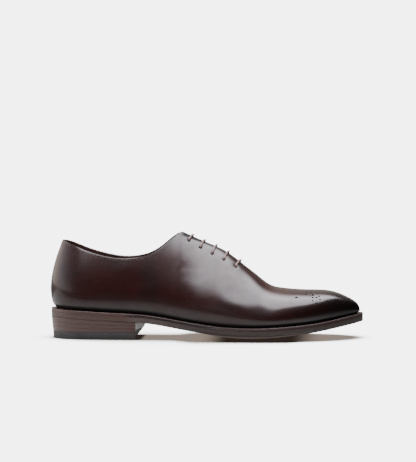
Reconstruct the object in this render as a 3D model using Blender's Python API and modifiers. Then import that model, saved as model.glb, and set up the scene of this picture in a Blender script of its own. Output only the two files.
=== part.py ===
"""A whole cut oxford for the right foot, standing on the floor.

The toe points along +X, the outer (lateral) side faces -Y, and the origin lies on the floor under the middle
of the heel. All lengths are in metres. A share runs from 0 at the back of the heel to 1 at the tip of the toe.
"""

import math
from collections import namedtuple

import bmesh
import bpy
import numpy as np
from mathutils import Vector

# Sole sizes
SOLE_LENGTH = 0.306
BALL_WIDTH = 0.104
HEEL_BACK_RADIUS = 0.033
TOE_TIP_RADIUS = 0.020
TOE_SWING = 0.009
HEEL_HEIGHT = 0.0213
TOE_SPRING = 0.0167
BALL_EDGE_LIFT = 0.0046
SOLE_CROWN = 0.0054
CROWN_POWER = 1.25
ARCH_RISE = 0.0030
OUTSOLE_THICKNESS = 0.0052
WELT_THICKNESS = 0.0028
WELT_UNDERLAP = 0.0030
HEEL_MARGIN = 0.0032
WAIST_MARGIN = 0.0028
FOREPART_MARGIN = 0.0046
TOE_MARGIN = 0.0034

# Heel sizes
HEEL_CENTRE = 0.040
BREAST_DISTANCE = 0.0850
BREAST_HOLLOW = 0.0030
BREAST_INNER_REACH = 0.0057
BREAST_INNER_CUT = 0.0080
HEEL_TAPER = 0.0020
TOP_PIECE_THICKNESS = 0.0070
LEATHER_LIFTS = 3

# Upper sizes, with heights measured from the edge where upper and sole meet
INSTEP_RISE = 0.0838
ANKLE_RISE = 0.0530
BACK_RISE = 0.0666
WALL = 0.0020
THROAT_TOP = 0.1285
THROAT_END = 0.1883
THROAT_HALF_GAP = 0.0014

# Tongue, insole and lace sizes
TONGUE_THICKNESS = 0.0018
TONGUE_TOP = 0.1255
TONGUE_FRONT = 0.2010
TONGUE_SPREAD_SHARE = 0.40
INSOLE_THICKNESS = 0.0030
LACE_DIAMETER = 0.0022
EYELET_DIAMETER = 0.0036
FIRST_EYELET = 0.1855
LAST_EYELET = 0.1391
EYELET_SETBACK = 0.0035
RUN_OFFSET = 0.033

# Gap between pieces that touch, and between the lace and the leather it lies on
CLEARANCE = 0.0003
LACE_CLEARANCE = 0.0005

# Mesh densities
COLLAR_STATIONS = 17
THROAT_STATIONS = 8
VAMP_STATIONS = 17
SECTION_STEPS = 11
SOLE_STATIONS = 40
EYELET_SIDES = 10
LACE_POINT_SPACING = 0.0022
MERGE_DISTANCE = 0.00005
SMALL = 1e-6

LATERAL = -1
MEDIAL = 1

# Half widths of the sole from its centre line, as shares of the ball width
Outline = namedtuple("Outline", "share lateral medial")
OUTLINE = (
    Outline(0.05, 0.262, 0.259),
    Outline(0.10, 0.307, 0.300),
    Outline(0.15, 0.321, 0.313),
    Outline(0.20, 0.323, 0.314),
    Outline(0.27, 0.317, 0.302),
    Outline(0.35, 0.313, 0.274),
    Outline(0.42, 0.332, 0.265),
    Outline(0.50, 0.380, 0.293),
    Outline(0.58, 0.447, 0.351),
    Outline(0.65, 0.497, 0.416),
    Outline(0.71, 0.514, 0.452),
    Outline(0.76, 0.503, 0.459),
    Outline(0.82, 0.461, 0.430),
    Outline(0.88, 0.389, 0.370),
    Outline(0.93, 0.303, 0.293),
    Outline(0.97, 0.197, 0.200),
)

# How far the sole's lower edge follows the heel height and the toe spring, how much of the crown and of the
# arch it has, and how much of the toe's swing its centre line has
Ground = namedtuple("Ground", "share heel toe crown arch swing")
GROUND = (
    Ground(0.000, 1.000, 0.000, 0.00, 0.00, 0.00),
    Ground(0.100, 0.902, 0.000, 0.00, 0.00, 0.00),
    Ground(0.200, 0.804, 0.000, 0.00, 0.00, 0.00),
    Ground(0.270, 0.735, 0.000, 0.00, 0.00, 0.00),
    Ground(0.340, 0.600, 0.000, 0.22, 0.55, 0.00),
    Ground(0.410, 0.380, 0.000, 0.42, 1.00, 0.00),
    Ground(0.480, 0.180, 0.000, 0.66, 0.70, 0.00),
    Ground(0.550, 0.045, 0.000, 0.88, 0.20, 0.03),
    Ground(0.620, 0.000, 0.000, 1.00, 0.00, 0.10),
    Ground(0.690, 0.000, 0.030, 1.00, 0.00, 0.19),
    Ground(0.780, 0.000, 0.180, 0.86, 0.00, 0.34),
    Ground(0.860, 0.000, 0.390, 0.62, 0.00, 0.55),
    Ground(0.930, 0.000, 0.695, 0.36, 0.00, 0.78),
    Ground(1.000, 0.000, 1.000, 0.00, 0.00, 1.00),
)

# Cross sections of the last: height of the ridge as a share of the instep rise, bulge of the side as a share of
# the ball width, height of the side's fullest point, then half width and height at the shoulder, and half width
# of the crown, as shares of the section's own half width and rise
Section = namedtuple("Section", "share rise bulge side shoulder shoulder_height crown ridge_shift")
SECTIONS = (
    Section(0.000, 1.115, 0.034, 0.36, 0.84, 0.70, 0.52, 0.000),
    Section(0.100, 1.125, 0.040, 0.36, 0.79, 0.70, 0.45, 0.000),
    Section(0.200, 1.122, 0.044, 0.38, 0.76, 0.72, 0.40, 0.000),
    Section(0.290, 1.100, 0.048, 0.42, 0.73, 0.74, 0.36, 0.006),
    Section(0.360, 1.060, 0.048, 0.45, 0.69, 0.77, 0.32, 0.012),
    Section(0.420, 1.000, 0.045, 0.47, 0.66, 0.80, 0.30, 0.018),
    Section(0.494, 0.926, 0.044, 0.48, 0.66, 0.81, 0.30, 0.022),
    Section(0.555, 0.851, 0.043, 0.49, 0.68, 0.82, 0.32, 0.022),
    Section(0.620, 0.684, 0.040, 0.50, 0.71, 0.84, 0.35, 0.020),
    Section(0.657, 0.580, 0.038, 0.52, 0.74, 0.86, 0.37, 0.018),
    Section(0.698, 0.465, 0.035, 0.54, 0.78, 0.89, 0.40, 0.014),
    Section(0.738, 0.417, 0.032, 0.57, 0.81, 0.92, 0.43, 0.010),
    Section(0.799, 0.380, 0.029, 0.61, 0.84, 0.95, 0.46, 0.004),
    Section(0.860, 0.352, 0.026, 0.64, 0.86, 0.97, 0.48, 0.000),
    Section(0.900, 0.318, 0.023, 0.66, 0.87, 0.98, 0.49, 0.000),
    Section(0.941, 0.246, 0.019, 0.66, 0.88, 0.98, 0.50, 0.000),
    Section(0.971, 0.177, 0.015, 0.66, 0.88, 0.98, 0.50, 0.000),
    Section(0.991, 0.116, 0.011, 0.66, 0.88, 0.98, 0.50, 0.000),
    Section(1.000, 0.046, 0.009, 0.66, 0.88, 0.98, 0.50, 0.000),
)

# Forward lean of the back seam at each control height, from the sole up, as shares of the back rise
BACK_LEAN = (0.000, -0.042, -0.085, 0.078, 0.315, 0.300)
BACK_LEAN_SHARE = 0.26
LOW_SIDE_SHARE = 0.38
HIGH_BULGE_SHARE = 0.80

# Top line: how far it climbs from the ankle to the back and to the instep, by share of the throat's distance
TopLine = namedtuple("TopLine", "share to_back to_instep")
TOP_LINE = (
    TopLine(0.000, 1.060, 0.000),
    TopLine(0.101, 1.000, 0.000),
    TopLine(0.219, 0.617, 0.000),
    TopLine(0.351, 0.240, 0.000),
    TopLine(0.482, 0.030, 0.000),
    TopLine(0.570, 0.000, 0.003),
    TopLine(0.658, 0.000, 0.050),
    TopLine(0.746, 0.000, 0.160),
    TopLine(0.833, 0.000, 0.397),
    TopLine(0.921, 0.000, 0.741),
    TopLine(0.978, 0.000, 0.945),
    TopLine(1.060, 0.000, 1.170),
)

# How far each eyelet lies from the ridge, as a share of the half section, from the vamp up to the collar
EYELET_DEPTHS = (0.240, 0.246, 0.236, 0.212, 0.180)
EYELET_ROWS = len(EYELET_DEPTHS)

# Margin between the sole's outline and the upper, by share of the length
MARGINS = (
    (0.00, HEEL_MARGIN),
    (0.22, HEEL_MARGIN),
    (0.40, WAIST_MARGIN),
    (0.62, FOREPART_MARGIN),
    (0.90, FOREPART_MARGIN),
    (1.00, TOE_MARGIN),
)

# Positions across the sole's underside, from the lateral edge to the medial edge
UNDERSIDE_STEPS = (-1.0, -0.70, -0.40, -0.18, 0.18, 0.40, 0.70, 1.0)

# The lace's way through the eyelets: row counted from the vamp, side, and the side step of the hidden run
# that leads on from there. A run of None crosses over the throat to the eyelet that follows.
LaceStop = namedtuple("LaceStop", "row side run")
LACE_STOPS = (
    LaceStop(3, LATERAL, None),
    LaceStop(3, MEDIAL, 1),
    LaceStop(1, MEDIAL, None),
    LaceStop(1, LATERAL, 0),
    LaceStop(0, LATERAL, None),
    LaceStop(0, MEDIAL, -1),
    LaceStop(2, MEDIAL, None),
    LaceStop(2, LATERAL, 1),
    LaceStop(4, LATERAL, None),
    LaceStop(4, MEDIAL, 0),
)


def natural_spline(knots, values):
    """Return a smooth curve through the points that runs on straight past both ends."""
    x = np.array(knots, float)
    y = np.array(values, float)
    h = np.diff(x)
    count = len(x)
    system = np.eye(count)
    right = np.zeros(count)
    for i in range(1, count - 1):
        system[i, i - 1 : i + 2] = h[i - 1], 2 * (h[i - 1] + h[i]), h[i]
        right[i] = 6 * ((y[i + 1] - y[i]) / h[i] - (y[i] - y[i - 1]) / h[i - 1])
    bend = np.linalg.solve(system, right)

    def curve(at):
        i = min(max(int(np.searchsorted(x, at)) - 1, 0), count - 2)
        if at < x[0] or at > x[-1]:
            end = 0 if at < x[0] else count - 1
            inner = 1 if end == 0 else count - 2
            slope = (y[end] - y[inner]) / (x[end] - x[inner])
            slope += (x[end] - x[inner]) * bend[inner] / 6
            return float(y[end] + slope * (at - x[end]))
        p, q = x[i + 1] - at, at - x[i]
        cubic = (bend[i] * p**3 + bend[i + 1] * q**3) / (6 * h[i])
        line = (y[i] / h[i] - bend[i] * h[i] / 6) * p + (y[i + 1] / h[i] - bend[i + 1] * h[i] / 6) * q
        return float(cubic + line)

    return curve


def share_of(station):
    """Share of the length at a station. Stations crowd towards the round heel and toe."""
    return (1 - math.cos(math.pi * station)) / 2


def station_of(share):
    """Station at a share of the length."""
    return math.acos(1 - 2 * min(max(share, 0), 1)) / math.pi


def roundness(share):
    """Width factor that closes an outline to a round end at the heel and at the toe."""
    return 2 * math.sqrt(max(share * (1 - share), 0))


def outline_spline(side):
    """Smooth half width of one side, divided by the roundness of the ends."""
    column = "lateral" if side == LATERAL else "medial"
    inner = [(station_of(r.share), getattr(r, column) * BALL_WIDTH / roundness(r.share)) for r in OUTLINE]
    heel = math.sqrt(HEEL_BACK_RADIUS * SOLE_LENGTH / 2)
    toe = math.sqrt(TOE_TIP_RADIUS * SOLE_LENGTH / 2)
    rows = [(0.0, heel), *inner, (1.0, toe)]
    return natural_spline(*zip(*rows))


def column_spline(table, column, knot=lambda share: share):
    """Smooth curve through one column of a table."""
    return natural_spline([knot(row.share) for row in table], [getattr(row, column) for row in table])


HALF_WIDTH = {side: outline_spline(side) for side in (LATERAL, MEDIAL)}
GROUND_CURVES = {name: column_spline(GROUND, name) for name in Ground._fields[1:]}
SECTION_CURVES = {name: column_spline(SECTIONS, name, station_of) for name in Section._fields[1:]}
TOP_CURVES = {name: column_spline(TOP_LINE, name) for name in TopLine._fields[1:]}


def half_width(share, side):
    """Half width of the sole on one side of its centre line."""
    return HALF_WIDTH[side](station_of(share)) * roundness(share)


def centre_line(share):
    """Y of the sole's centre line, which swings inwards at the toe."""
    return TOE_SWING * GROUND_CURVES["swing"](share)


def sole_edge(station, side):
    """X from the heel's back, and Y, of the sole's outline."""
    share = share_of(station)
    across = HALF_WIDTH[side](station) * math.sin(math.pi * station)
    return np.array([share * SOLE_LENGTH, centre_line(share) + side * across])


def inset_edge(station, side, inset):
    """The sole's outline moved inwards by a distance."""
    step = 1e-4
    ahead = sole_edge(station + step, side)
    behind = sole_edge(station - step, side)
    tangent = (ahead - behind) / np.linalg.norm(ahead - behind)
    inward = np.array([side * tangent[1], -side * tangent[0]])
    return sole_edge(station, side) + inward * inset


def margin(station):
    """Width of the sole that shows beside the upper."""
    shares, widths = zip(*MARGINS)
    return float(np.interp(share_of(station), shares, widths))


def across(x, y):
    """Position across the sole, -1 at the lateral edge and 1 at the medial edge."""
    share = x / SOLE_LENGTH
    low = centre_line(share) - half_width(share, LATERAL)
    high = centre_line(share) + half_width(share, MEDIAL)
    if high - low < SMALL:
        return 0.0
    return min(max((2 * y - low - high) / (high - low), -1), 1)


def under_edge(x, y):
    """Height of the outsole's lower face before it is crowned."""
    share = min(max(x / SOLE_LENGTH, 0), 1)
    curve = {name: GROUND_CURVES[name](share) for name in ("heel", "toe", "arch")}
    height = BALL_EDGE_LIFT + (HEEL_HEIGHT - BALL_EDGE_LIFT) * curve["heel"]
    height += (TOE_SPRING - BALL_EDGE_LIFT) * curve["toe"]
    return height + ARCH_RISE * curve["arch"] * (1 + across(x, y)) / 2


def tread(x, y):
    """Height of the outsole's lower face, crowned across and flat where the ball stands on the floor."""
    crown = SOLE_CROWN * max(GROUND_CURVES["crown"](x / SOLE_LENGTH), 0)
    return max(under_edge(x, y) - crown * (1 - abs(across(x, y)) ** CROWN_POWER), 0)


def seat(x, y):
    """Height of the plane where the upper meets the sole."""
    return under_edge(x, y) + OUTSOLE_THICKNESS + WELT_THICKNESS


def placed(x, y, z):
    """A point measured from the heel's back, in the shoe's frame."""
    return Vector((x - HEEL_CENTRE, y, z))


def controls(station, side):
    """Six control points of one half section, from the sole's edge up to the ridge."""
    value = {name: curve(station) for name, curve in SECTION_CURVES.items()}
    edge = inset_edge(station, side, margin(station))
    outward = edge - inset_edge(station, side, margin(station) + BALL_WIDTH)
    outward /= np.linalg.norm(outward)
    other = inset_edge(station, -side, margin(station))
    ridge = np.array([(edge[0] + other[0]) / 2, centre_line(share_of(station))])
    ridge[1] += value["ridge_shift"] * BALL_WIDTH
    base = seat(*edge)
    top = seat(*ridge) + value["rise"] * INSTEP_RISE
    bulge = outward * value["bulge"] * BALL_WIDTH

    def towards_ridge(width):
        return ridge + (edge - ridge) * width

    plan = (
        edge,
        edge + bulge,
        edge + bulge * HIGH_BULGE_SHARE,
        towards_ridge(value["shoulder"]),
        towards_ridge(value["crown"]),
        ridge,
    )
    rises = (0, value["side"] * LOW_SIDE_SHARE, value["side"], value["shoulder_height"], 1, 1)
    fade = max(1 - share_of(station) / BACK_LEAN_SHARE, 0) ** 2
    return [
        np.array([at[0] + lean * fade * BACK_RISE, at[1], base + (top - base) * rise])
        for at, rise, lean in zip(plan, rises, BACK_LEAN)
    ]


def bezier(points, t):
    """Point of a Bezier curve."""
    degree = len(points) - 1
    return sum(math.comb(degree, i) * t**i * (1 - t) ** (degree - i) * p for i, p in enumerate(points))


def last_point(station, side, t):
    """Point of the last's surface, from t = 0 at the sole's edge to t = 1 on the ridge."""
    return bezier(controls(station, side), t)


def last_normal(station, side, t):
    """Unit normal of the last's surface, pointing out of the shoe."""
    step = 1e-3
    low, high = max(t - step, 0), min(t + step, 1)
    back, ahead = max(station - step, step), min(station + step, 1 - step)
    up = last_point(station, side, high) - last_point(station, side, low)
    along = last_point(ahead, side, t) - last_point(back, side, t)
    normal = np.cross(up, along) * side
    return normal / np.linalg.norm(normal)


def top_line(x, y):
    """Height of the collar's edge."""
    share = x / THROAT_TOP
    to_back = TOP_CURVES["to_back"](share)
    to_instep = TOP_CURVES["to_instep"](share)
    rise = ANKLE_RISE + (BACK_RISE - ANKLE_RISE) * to_back + (INSTEP_RISE - ANKLE_RISE) * to_instep
    return seat(x, y) + rise


def throat_half_gap(x):
    """Half the gap between the facings, which closes to a point at the vamp."""
    left = (THROAT_END - x) / (THROAT_END - THROAT_TOP)
    return THROAT_HALF_GAP * math.sqrt(min(max(left, 0), 1))


def is_cut_away(point, ridge_y):
    """Whether a point of the last lies in the collar's opening or in the throat's gap."""
    x, y, z = point
    if x < THROAT_TOP + SMALL and z > top_line(x, y):
        return True
    return THROAT_TOP - WALL < x < THROAT_END - SMALL and abs(y - ridge_y) < throat_half_gap(x)


def top_t(station, side):
    """Where one half section ends: at the collar, at the throat's edge or on the ridge."""
    points = controls(station, side)
    ridge_y = points[-1][1]
    if not is_cut_away(bezier(points, 1), ridge_y):
        return 1.0
    low, high = 0.0, 1.0
    for _ in range(30):
        middle = (low + high) / 2
        if is_cut_away(bezier(points, middle), ridge_y):
            high = middle
        else:
            low = middle
    return low


def station_at(x):
    """Station whose ridge lies at a distance from the heel's back."""
    low, high = 0.0, 1.0
    for _ in range(30):
        middle = (low + high) / 2
        if controls(middle, LATERAL)[-1][0] < x:
            low = middle
        else:
            high = middle
    return low


def upper_stations():
    """Stations of the upper, with one on the throat's top and one on its end."""
    top, end = station_at(THROAT_TOP), station_at(THROAT_END)
    collar = np.linspace(0, top, COLLAR_STATIONS, endpoint=False)
    throat = np.linspace(top, end, THROAT_STATIONS, endpoint=False)
    vamp = np.linspace(end, 1, VAMP_STATIONS)
    return [*collar, *throat, *vamp]


def material(name, colour, roughness):
    """Plain finish of one piece."""
    made = bpy.data.materials.new(name)
    made.use_nodes = True
    shader = made.node_tree.nodes["Principled BSDF"]
    shader.inputs["Base Color"].default_value = (*colour, 1)
    shader.inputs["Roughness"].default_value = roughness
    shader.inputs["Metallic"].default_value = 0
    return made


def add_object(name, mesh, finish, collection):
    """Put a mesh in the scene as a named piece."""
    made = bpy.data.objects.new(name, mesh)
    collection.objects.link(made)
    if finish:
        mesh.materials.append(finish)
    return made


def finished_mesh(bm, name):
    """Merge what meets, turn the faces outwards and shade the mesh smooth."""
    bmesh.ops.remove_doubles(bm, verts=bm.verts, dist=MERGE_DISTANCE)
    bmesh.ops.recalc_face_normals(bm, faces=bm.faces)
    mesh = bpy.data.meshes.new(name)
    bm.to_mesh(mesh)
    bm.free()
    mesh.shade_smooth()
    mesh.set_sharp_from_angle(angle=math.radians(40))
    return mesh


def add_sheet(bm, columns, rows, point_at):
    """Add a grid to the mesh and lay each of its points on a surface."""
    made = bmesh.ops.create_grid(bm, x_segments=columns, y_segments=rows, size=0.5)
    for vertex in made["verts"]:
        column = round((vertex.co.x + 0.5) * columns)
        row = round((vertex.co.y + 0.5) * rows)
        vertex.co = point_at(column, row)


def loft(name, rings, capped, finish, collection):
    """Join rings of points in order into one closed piece."""
    bm = bmesh.new()
    made = [[bm.verts.new(point) for point in ring] for ring in rings]
    for ring, following in zip(made, made[1:]):
        count = len(ring)
        for i in range(count):
            bm.faces.new((ring[i], ring[(i + 1) % count], following[(i + 1) % count], following[i]))
    if capped:
        bm.faces.new(made[0])
        bm.faces.new(reversed(made[-1]))
    return add_object(name, finished_mesh(bm, name), finish, collection)


def add_thickness(piece, thickness):
    """Give an open surface a wall on its inner side."""
    wall = piece.modifiers.new("Wall", "SOLIDIFY")
    wall.thickness = thickness
    wall.offset = -1
    wall.use_even_offset = True
    wall.use_quality_normals = True


def eyelet_place(row, side):
    """Station and t of an eyelet, with rows counted from the vamp up to the collar."""
    x = FIRST_EYELET + (LAST_EYELET - FIRST_EYELET) * row / (EYELET_ROWS - 1)
    return station_at(x - EYELET_SETBACK), 1 - EYELET_DEPTHS[row]


def surface_at(place, side, height):
    """Point at a height over the last's surface, or under it where the height is negative."""
    station, t = place
    point = last_point(station, side, t) + last_normal(station, side, t) * height
    return placed(*point)


def make_eyelet_cutter(collection):
    """Round punches through both facings, as one cutter."""
    bm = bmesh.new()
    for row in range(EYELET_ROWS):
        for side in (LATERAL, MEDIAL):
            place = eyelet_place(row, side)
            axis = Vector(last_normal(*place[:1], side, place[1]))
            centre = surface_at(place, side, -WALL / 2)
            turn = axis.to_track_quat("Z", "Y").to_matrix().to_4x4()
            turn.translation = centre
            bmesh.ops.create_cone(
                bm,
                cap_ends=True,
                segments=EYELET_SIDES,
                radius1=EYELET_DIAMETER / 2,
                radius2=EYELET_DIAMETER / 2,
                depth=WALL * 2.5,
                matrix=turn,
            )
    mesh = bpy.data.meshes.new("eyelet_cutter")
    bm.to_mesh(mesh)
    bm.free()
    cutter = add_object("eyelet_cutter", mesh, None, collection)
    cutter.hide_render = True
    cutter.display_type = "WIRE"
    return cutter


def make_upper(collection, cutter, finish):
    """The one piece upper: a shell over the last, open at the collar, the throat and underneath."""
    stations = upper_stations()
    bm = bmesh.new()
    for side in (LATERAL, MEDIAL):
        ends = [top_t(station, side) for station in stations]

        def point_at(column, row, side=side, ends=ends):
            t = ends[column] * row / SECTION_STEPS
            x, y, z = last_point(stations[column], side, t)
            return placed(x, y, z + CLEARANCE)

        add_sheet(bm, len(stations) - 1, SECTION_STEPS, point_at)
    upper = add_object("upper", finished_mesh(bm, "upper"), finish, collection)
    add_thickness(upper, WALL)
    upper.modifiers.new("Flat faces", "TRIANGULATE")
    punch = upper.modifiers.new("Eyelets", "BOOLEAN")
    punch.operation = "DIFFERENCE"
    punch.object = cutter
    return upper


def tongue_depth(x):
    """Depth of the tongue's outer face under the last's surface: room for the lace, then up to the vamp."""
    laced = WALL + LACE_DIAMETER + 2 * LACE_CLEARANCE
    left = (TONGUE_FRONT - x) / (TONGUE_FRONT - FIRST_EYELET - EYELET_DIAMETER)
    return WALL + CLEARANCE + (laced - WALL - CLEARANCE) * min(max(left, 0), 1)


def make_tongue(collection, finish):
    """The tongue: a curved sheet under the facings, seated under the vamp at its front."""
    columns, rows = 12, 10
    back, front = station_at(TONGUE_TOP), station_at(TONGUE_FRONT)

    def point_at(column, row):
        station = back + (front - back) * column / columns
        spread = 2 * row / rows - 1
        side = MEDIAL if spread > 0 else LATERAL
        t = 1 - abs(spread) * TONGUE_SPREAD_SHARE
        x = controls(station, side)[-1][0]
        return surface_at((station, t), side, -tongue_depth(x))

    bm = bmesh.new()
    add_sheet(bm, columns, rows, point_at)
    mesh = finished_mesh(bm, "tongue")
    up = sum((polygon.normal.z for polygon in mesh.polygons), 0.0)
    if up < 0:
        mesh.flip_normals()
    tongue = add_object("tongue", mesh, finish, collection)
    add_thickness(tongue, TONGUE_THICKNESS)
    return tongue


def sole_stations():
    """Stations all along the sole."""
    return np.linspace(0, 1, SOLE_STATIONS + 1)


def make_outsole(collection, finish):
    """The outsole, from the heel's seat through the arched waist to the sprung toe."""
    rings = []
    for station in sole_stations():
        lateral, medial = sole_edge(station, LATERAL), sole_edge(station, MEDIAL)
        ring = []
        for step in UNDERSIDE_STEPS:
            x, y = lateral + (medial - lateral) * (step + 1) / 2
            ring.append(placed(x, y, tread(x, y)))
        for step in (1, 0, -1):
            x, y = lateral + (medial - lateral) * (step + 1) / 2
            ring.append(placed(x, y, seat(x, y) - WELT_THICKNESS - CLEARANCE))
        rings.append(ring)
    return loft("outsole", rings, False, finish, collection)


def strip_ring(station, side):
    """Section of the welt or rand: a flat strip that lies under the upper's edge and beside it."""
    outer = sole_edge(station, side)
    inner = inset_edge(station, side, margin(station) + WELT_UNDERLAP)
    bottom, top = -WELT_THICKNESS, 0
    corners = ((outer, bottom), (outer, top), (inner, top), (inner, bottom))
    return [placed(x, y, seat(x, y) + height) for (x, y), height in corners]


def breast_station(side, cut=0):
    """Station where the heel's breast meets one side of the sole, less a cut on the inner side."""
    reach = BREAST_INNER_REACH - cut if side == MEDIAL else 0
    return station_of((BREAST_DISTANCE + reach) / SOLE_LENGTH)


def make_welt(collection, finish):
    """The welt: a strip round the forepart from one end of the heel's breast to the other."""
    rings = []
    for side in (LATERAL, MEDIAL):
        first = breast_station(side) + 0.001
        stations = np.linspace(first, 1, SOLE_STATIONS * 3 // 4)
        side_rings = [strip_ring(station, side) for station in stations]
        rings += side_rings if side == LATERAL else side_rings[-2::-1]
    return loft("welt", rings, True, finish, collection)


def make_rand(collection, finish):
    """The rand: the welt's strip carried on round the heel."""
    rings = []
    for side in (LATERAL, MEDIAL):
        stations = np.linspace(breast_station(side), 0, SOLE_STATIONS // 3)
        side_rings = [strip_ring(station, side) for station in stations]
        rings += side_rings if side == LATERAL else side_rings[-2::-1]
    return loft("heel_rand", rings, True, finish, collection)


def make_insole(collection, finish):
    """The insole: a plate inside the upper whose core fills the welt's ring down to the outsole."""
    rings = []
    for station in sole_stations():
        ring = []
        for side in (LATERAL, MEDIAL):
            plate = inset_edge(station, side, margin(station) + WALL + 2 * CLEARANCE)
            core = inset_edge(station, side, margin(station) + WELT_UNDERLAP + CLEARANCE)
            corners = (
                (core, -WELT_THICKNESS),
                (core, CLEARANCE),
                (plate, CLEARANCE),
                (plate, CLEARANCE + INSOLE_THICKNESS),
            )
            half = [placed(x, y, seat(x, y) + height) for (x, y), height in corners]
            ring += half if side == LATERAL else half[::-1]
        rings.append(ring)
    return loft("insole", rings, False, finish, collection)


def heel_outline(inset, cut):
    """X and Y of the heel's outline, round the back and along the hollow breast, cut back at its inner end."""
    lateral = [inset_edge(s, LATERAL, inset) for s in np.linspace(breast_station(LATERAL), 0, 14)]
    medial = [inset_edge(s, MEDIAL, inset) for s in np.linspace(0, breast_station(MEDIAL, cut), 14)][1:]
    start, end = medial[-1], lateral[0]
    breast = []
    for step in np.linspace(0, 1, 8)[1:-1]:
        at = start + (end - start) * step
        breast.append(at - np.array([BREAST_HOLLOW * math.sin(math.pi * step), 0]))
    return [*lateral, *medial, *breast]


def heel_plane(x, level):
    """Height of a joint in the heel stack: level 0 is the top piece's upper face, 1 the outsole's seat."""
    bottom = HEEL_HEIGHT - CLEARANCE
    slope = (HEEL_HEIGHT - BALL_EDGE_LIFT) * (GROUND_CURVES["heel"](0.2) - 1) / (0.2 * SOLE_LENGTH)
    under_seat = bottom + slope * x
    return TOP_PIECE_THICKNESS + (under_seat - TOP_PIECE_THICKNESS) * level


def heel_slab(name, low, high, finish, collection):
    """One layer of the heel between two faces, each given as a height function and a share of the taper."""
    rings = []
    for height, taper in (low, high):
        outline = heel_outline(HEEL_TAPER * taper, BREAST_INNER_CUT * taper**3)
        rings.append([placed(x, y, height(x)) for x, y in outline])
    return loft(name, rings, True, finish, collection)


def make_heel(collection, leather, rubber):
    """The heel: leather lifts that take up the seat's slope, on a level rubber top piece."""
    seat_taper = TOP_PIECE_THICKNESS / HEEL_HEIGHT
    heel_slab("heel_top_piece", (lambda x: 0, 1), (lambda x: TOP_PIECE_THICKNESS, 1 - seat_taper), rubber, collection)
    for lift in range(LEATHER_LIFTS):
        faces = []
        for joint, gap in ((lift, CLEARANCE), (lift + 1, 0)):
            level = joint / LEATHER_LIFTS
            taper = (1 - seat_taper) * (1 - level)
            faces.append((lambda x, level=level, gap=gap: heel_plane(x, level) + gap, taper))
        heel_slab(f"heel_lift_{lift + 1}", *faces, leather, collection)


def crossing(row, side):
    """Lace points over the throat, from one eyelet to the one across from it."""
    height = LACE_DIAMETER / 2 + LACE_CLEARANCE
    start, depth = eyelet_place(row, side)
    over = station_at(controls(start, side)[-1][0] + EYELET_SETBACK)
    points = []
    for leg in (side, -side):
        half = []
        for step in (0.12, 0.35, 0.6, 0.85):
            place = (start + (over - start) * step, depth + (1 - depth) * step)
            half.append(surface_at(place, leg, height))
        points += half if leg == side else half[::-1]
    return points


def through(row, side, going_in):
    """Lace points through an eyelet, from over the facing to under it."""
    place = eyelet_place(row, side)
    points = [surface_at(place, side, height) for height in (LACE_DIAMETER * 0.35, -WALL / 2, -WALL - CLEARANCE)]
    return points if going_in else points[::-1]


def hidden_run(stop, following):
    """Lace points under the facing, from one row to another and clear of the eyelets between them."""
    depth = -(WALL + LACE_CLEARANCE + LACE_DIAMETER / 2)
    start, t = eyelet_place(stop.row, stop.side)
    end, end_t = eyelet_place(following.row, following.side)
    points = []
    for step in (0.12, 0.3, 0.5, 0.7, 0.88):
        bow = min(1.0, 3 * math.sin(math.pi * step) / 2) * RUN_OFFSET * stop.run
        place = (start + (end - start) * step, t + (end_t - t) * step - bow)
        points.append(surface_at(place, stop.side, depth))
    return points


def lace_route():
    """All the lace's points, in and out of the eyelets, with both ends hidden under the facings."""
    first, last = LACE_STOPS[0], LACE_STOPS[-1]
    points = end_run(first)[::-1]
    going_in = False
    for stop, following in zip(LACE_STOPS, [*LACE_STOPS[1:], None]):
        points += through(stop.row, stop.side, going_in)
        if following is None:
            break
        points += crossing(stop.row, stop.side) if stop.run is None else hidden_run(stop, following)
        going_in = not going_in
    return points + end_run(last)


def end_run(stop):
    """A hidden lace end that stops beside the top eyelets."""
    depth = -(WALL + LACE_CLEARANCE + LACE_DIAMETER / 2)
    start, t = eyelet_place(stop.row, stop.side)
    reach = 0.012 if stop.row < EYELET_ROWS - 1 else 0.008
    return [surface_at((start - reach * step, t), stop.side, depth) for step in (0.4, 1.0)]


def smooth_points(route, spacing):
    """Points at even spacing on a smooth curve through the route."""
    ends = [2 * route[0] - route[1], *route, 2 * route[-1] - route[-2]]
    dense = []
    for p0, p1, p2, p3 in zip(ends, ends[1:], ends[2:], ends[3:]):
        for step in range(8):
            t = step / 8
            dense.append(
                0.5 * (2 * p1 + (p2 - p0) * t + (2 * p0 - 5 * p1 + 4 * p2 - p3) * t**2
                       + (3 * p1 - p0 - 3 * p2 + p3) * t**3)
            )
    dense.append(route[-1])
    lengths = np.cumsum([0, *((b - a).length for a, b in zip(dense, dense[1:]))])
    count = round(lengths[-1] / spacing)
    table = np.array(dense)
    even = np.linspace(0, lengths[-1], count + 1)
    return [Vector([np.interp(at, lengths, table[:, axis]) for axis in range(3)]) for at in even]


def make_laces(collection, finish):
    """The lace: one round cord in straight bars over the throat and hidden runs under the facings."""
    points = smooth_points(lace_route(), LACE_POINT_SPACING)
    curve = bpy.data.curves.new("laces", "CURVE")
    curve.dimensions = "3D"
    curve.bevel_depth = LACE_DIAMETER / 2
    curve.bevel_resolution = 1
    curve.use_fill_caps = True
    spline = curve.splines.new("POLY")
    spline.points.add(len(points) - 1)
    for spline_point, point in zip(spline.points, points):
        spline_point.co = (*point, 1)
    curve.materials.append(finish)
    laces = bpy.data.objects.new("laces", curve)
    collection.objects.link(laces)
    return laces


def new_collection(name):
    """Collection linked to the scene."""
    made = bpy.data.collections.new(name)
    bpy.context.scene.collection.children.link(made)
    return made


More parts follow.
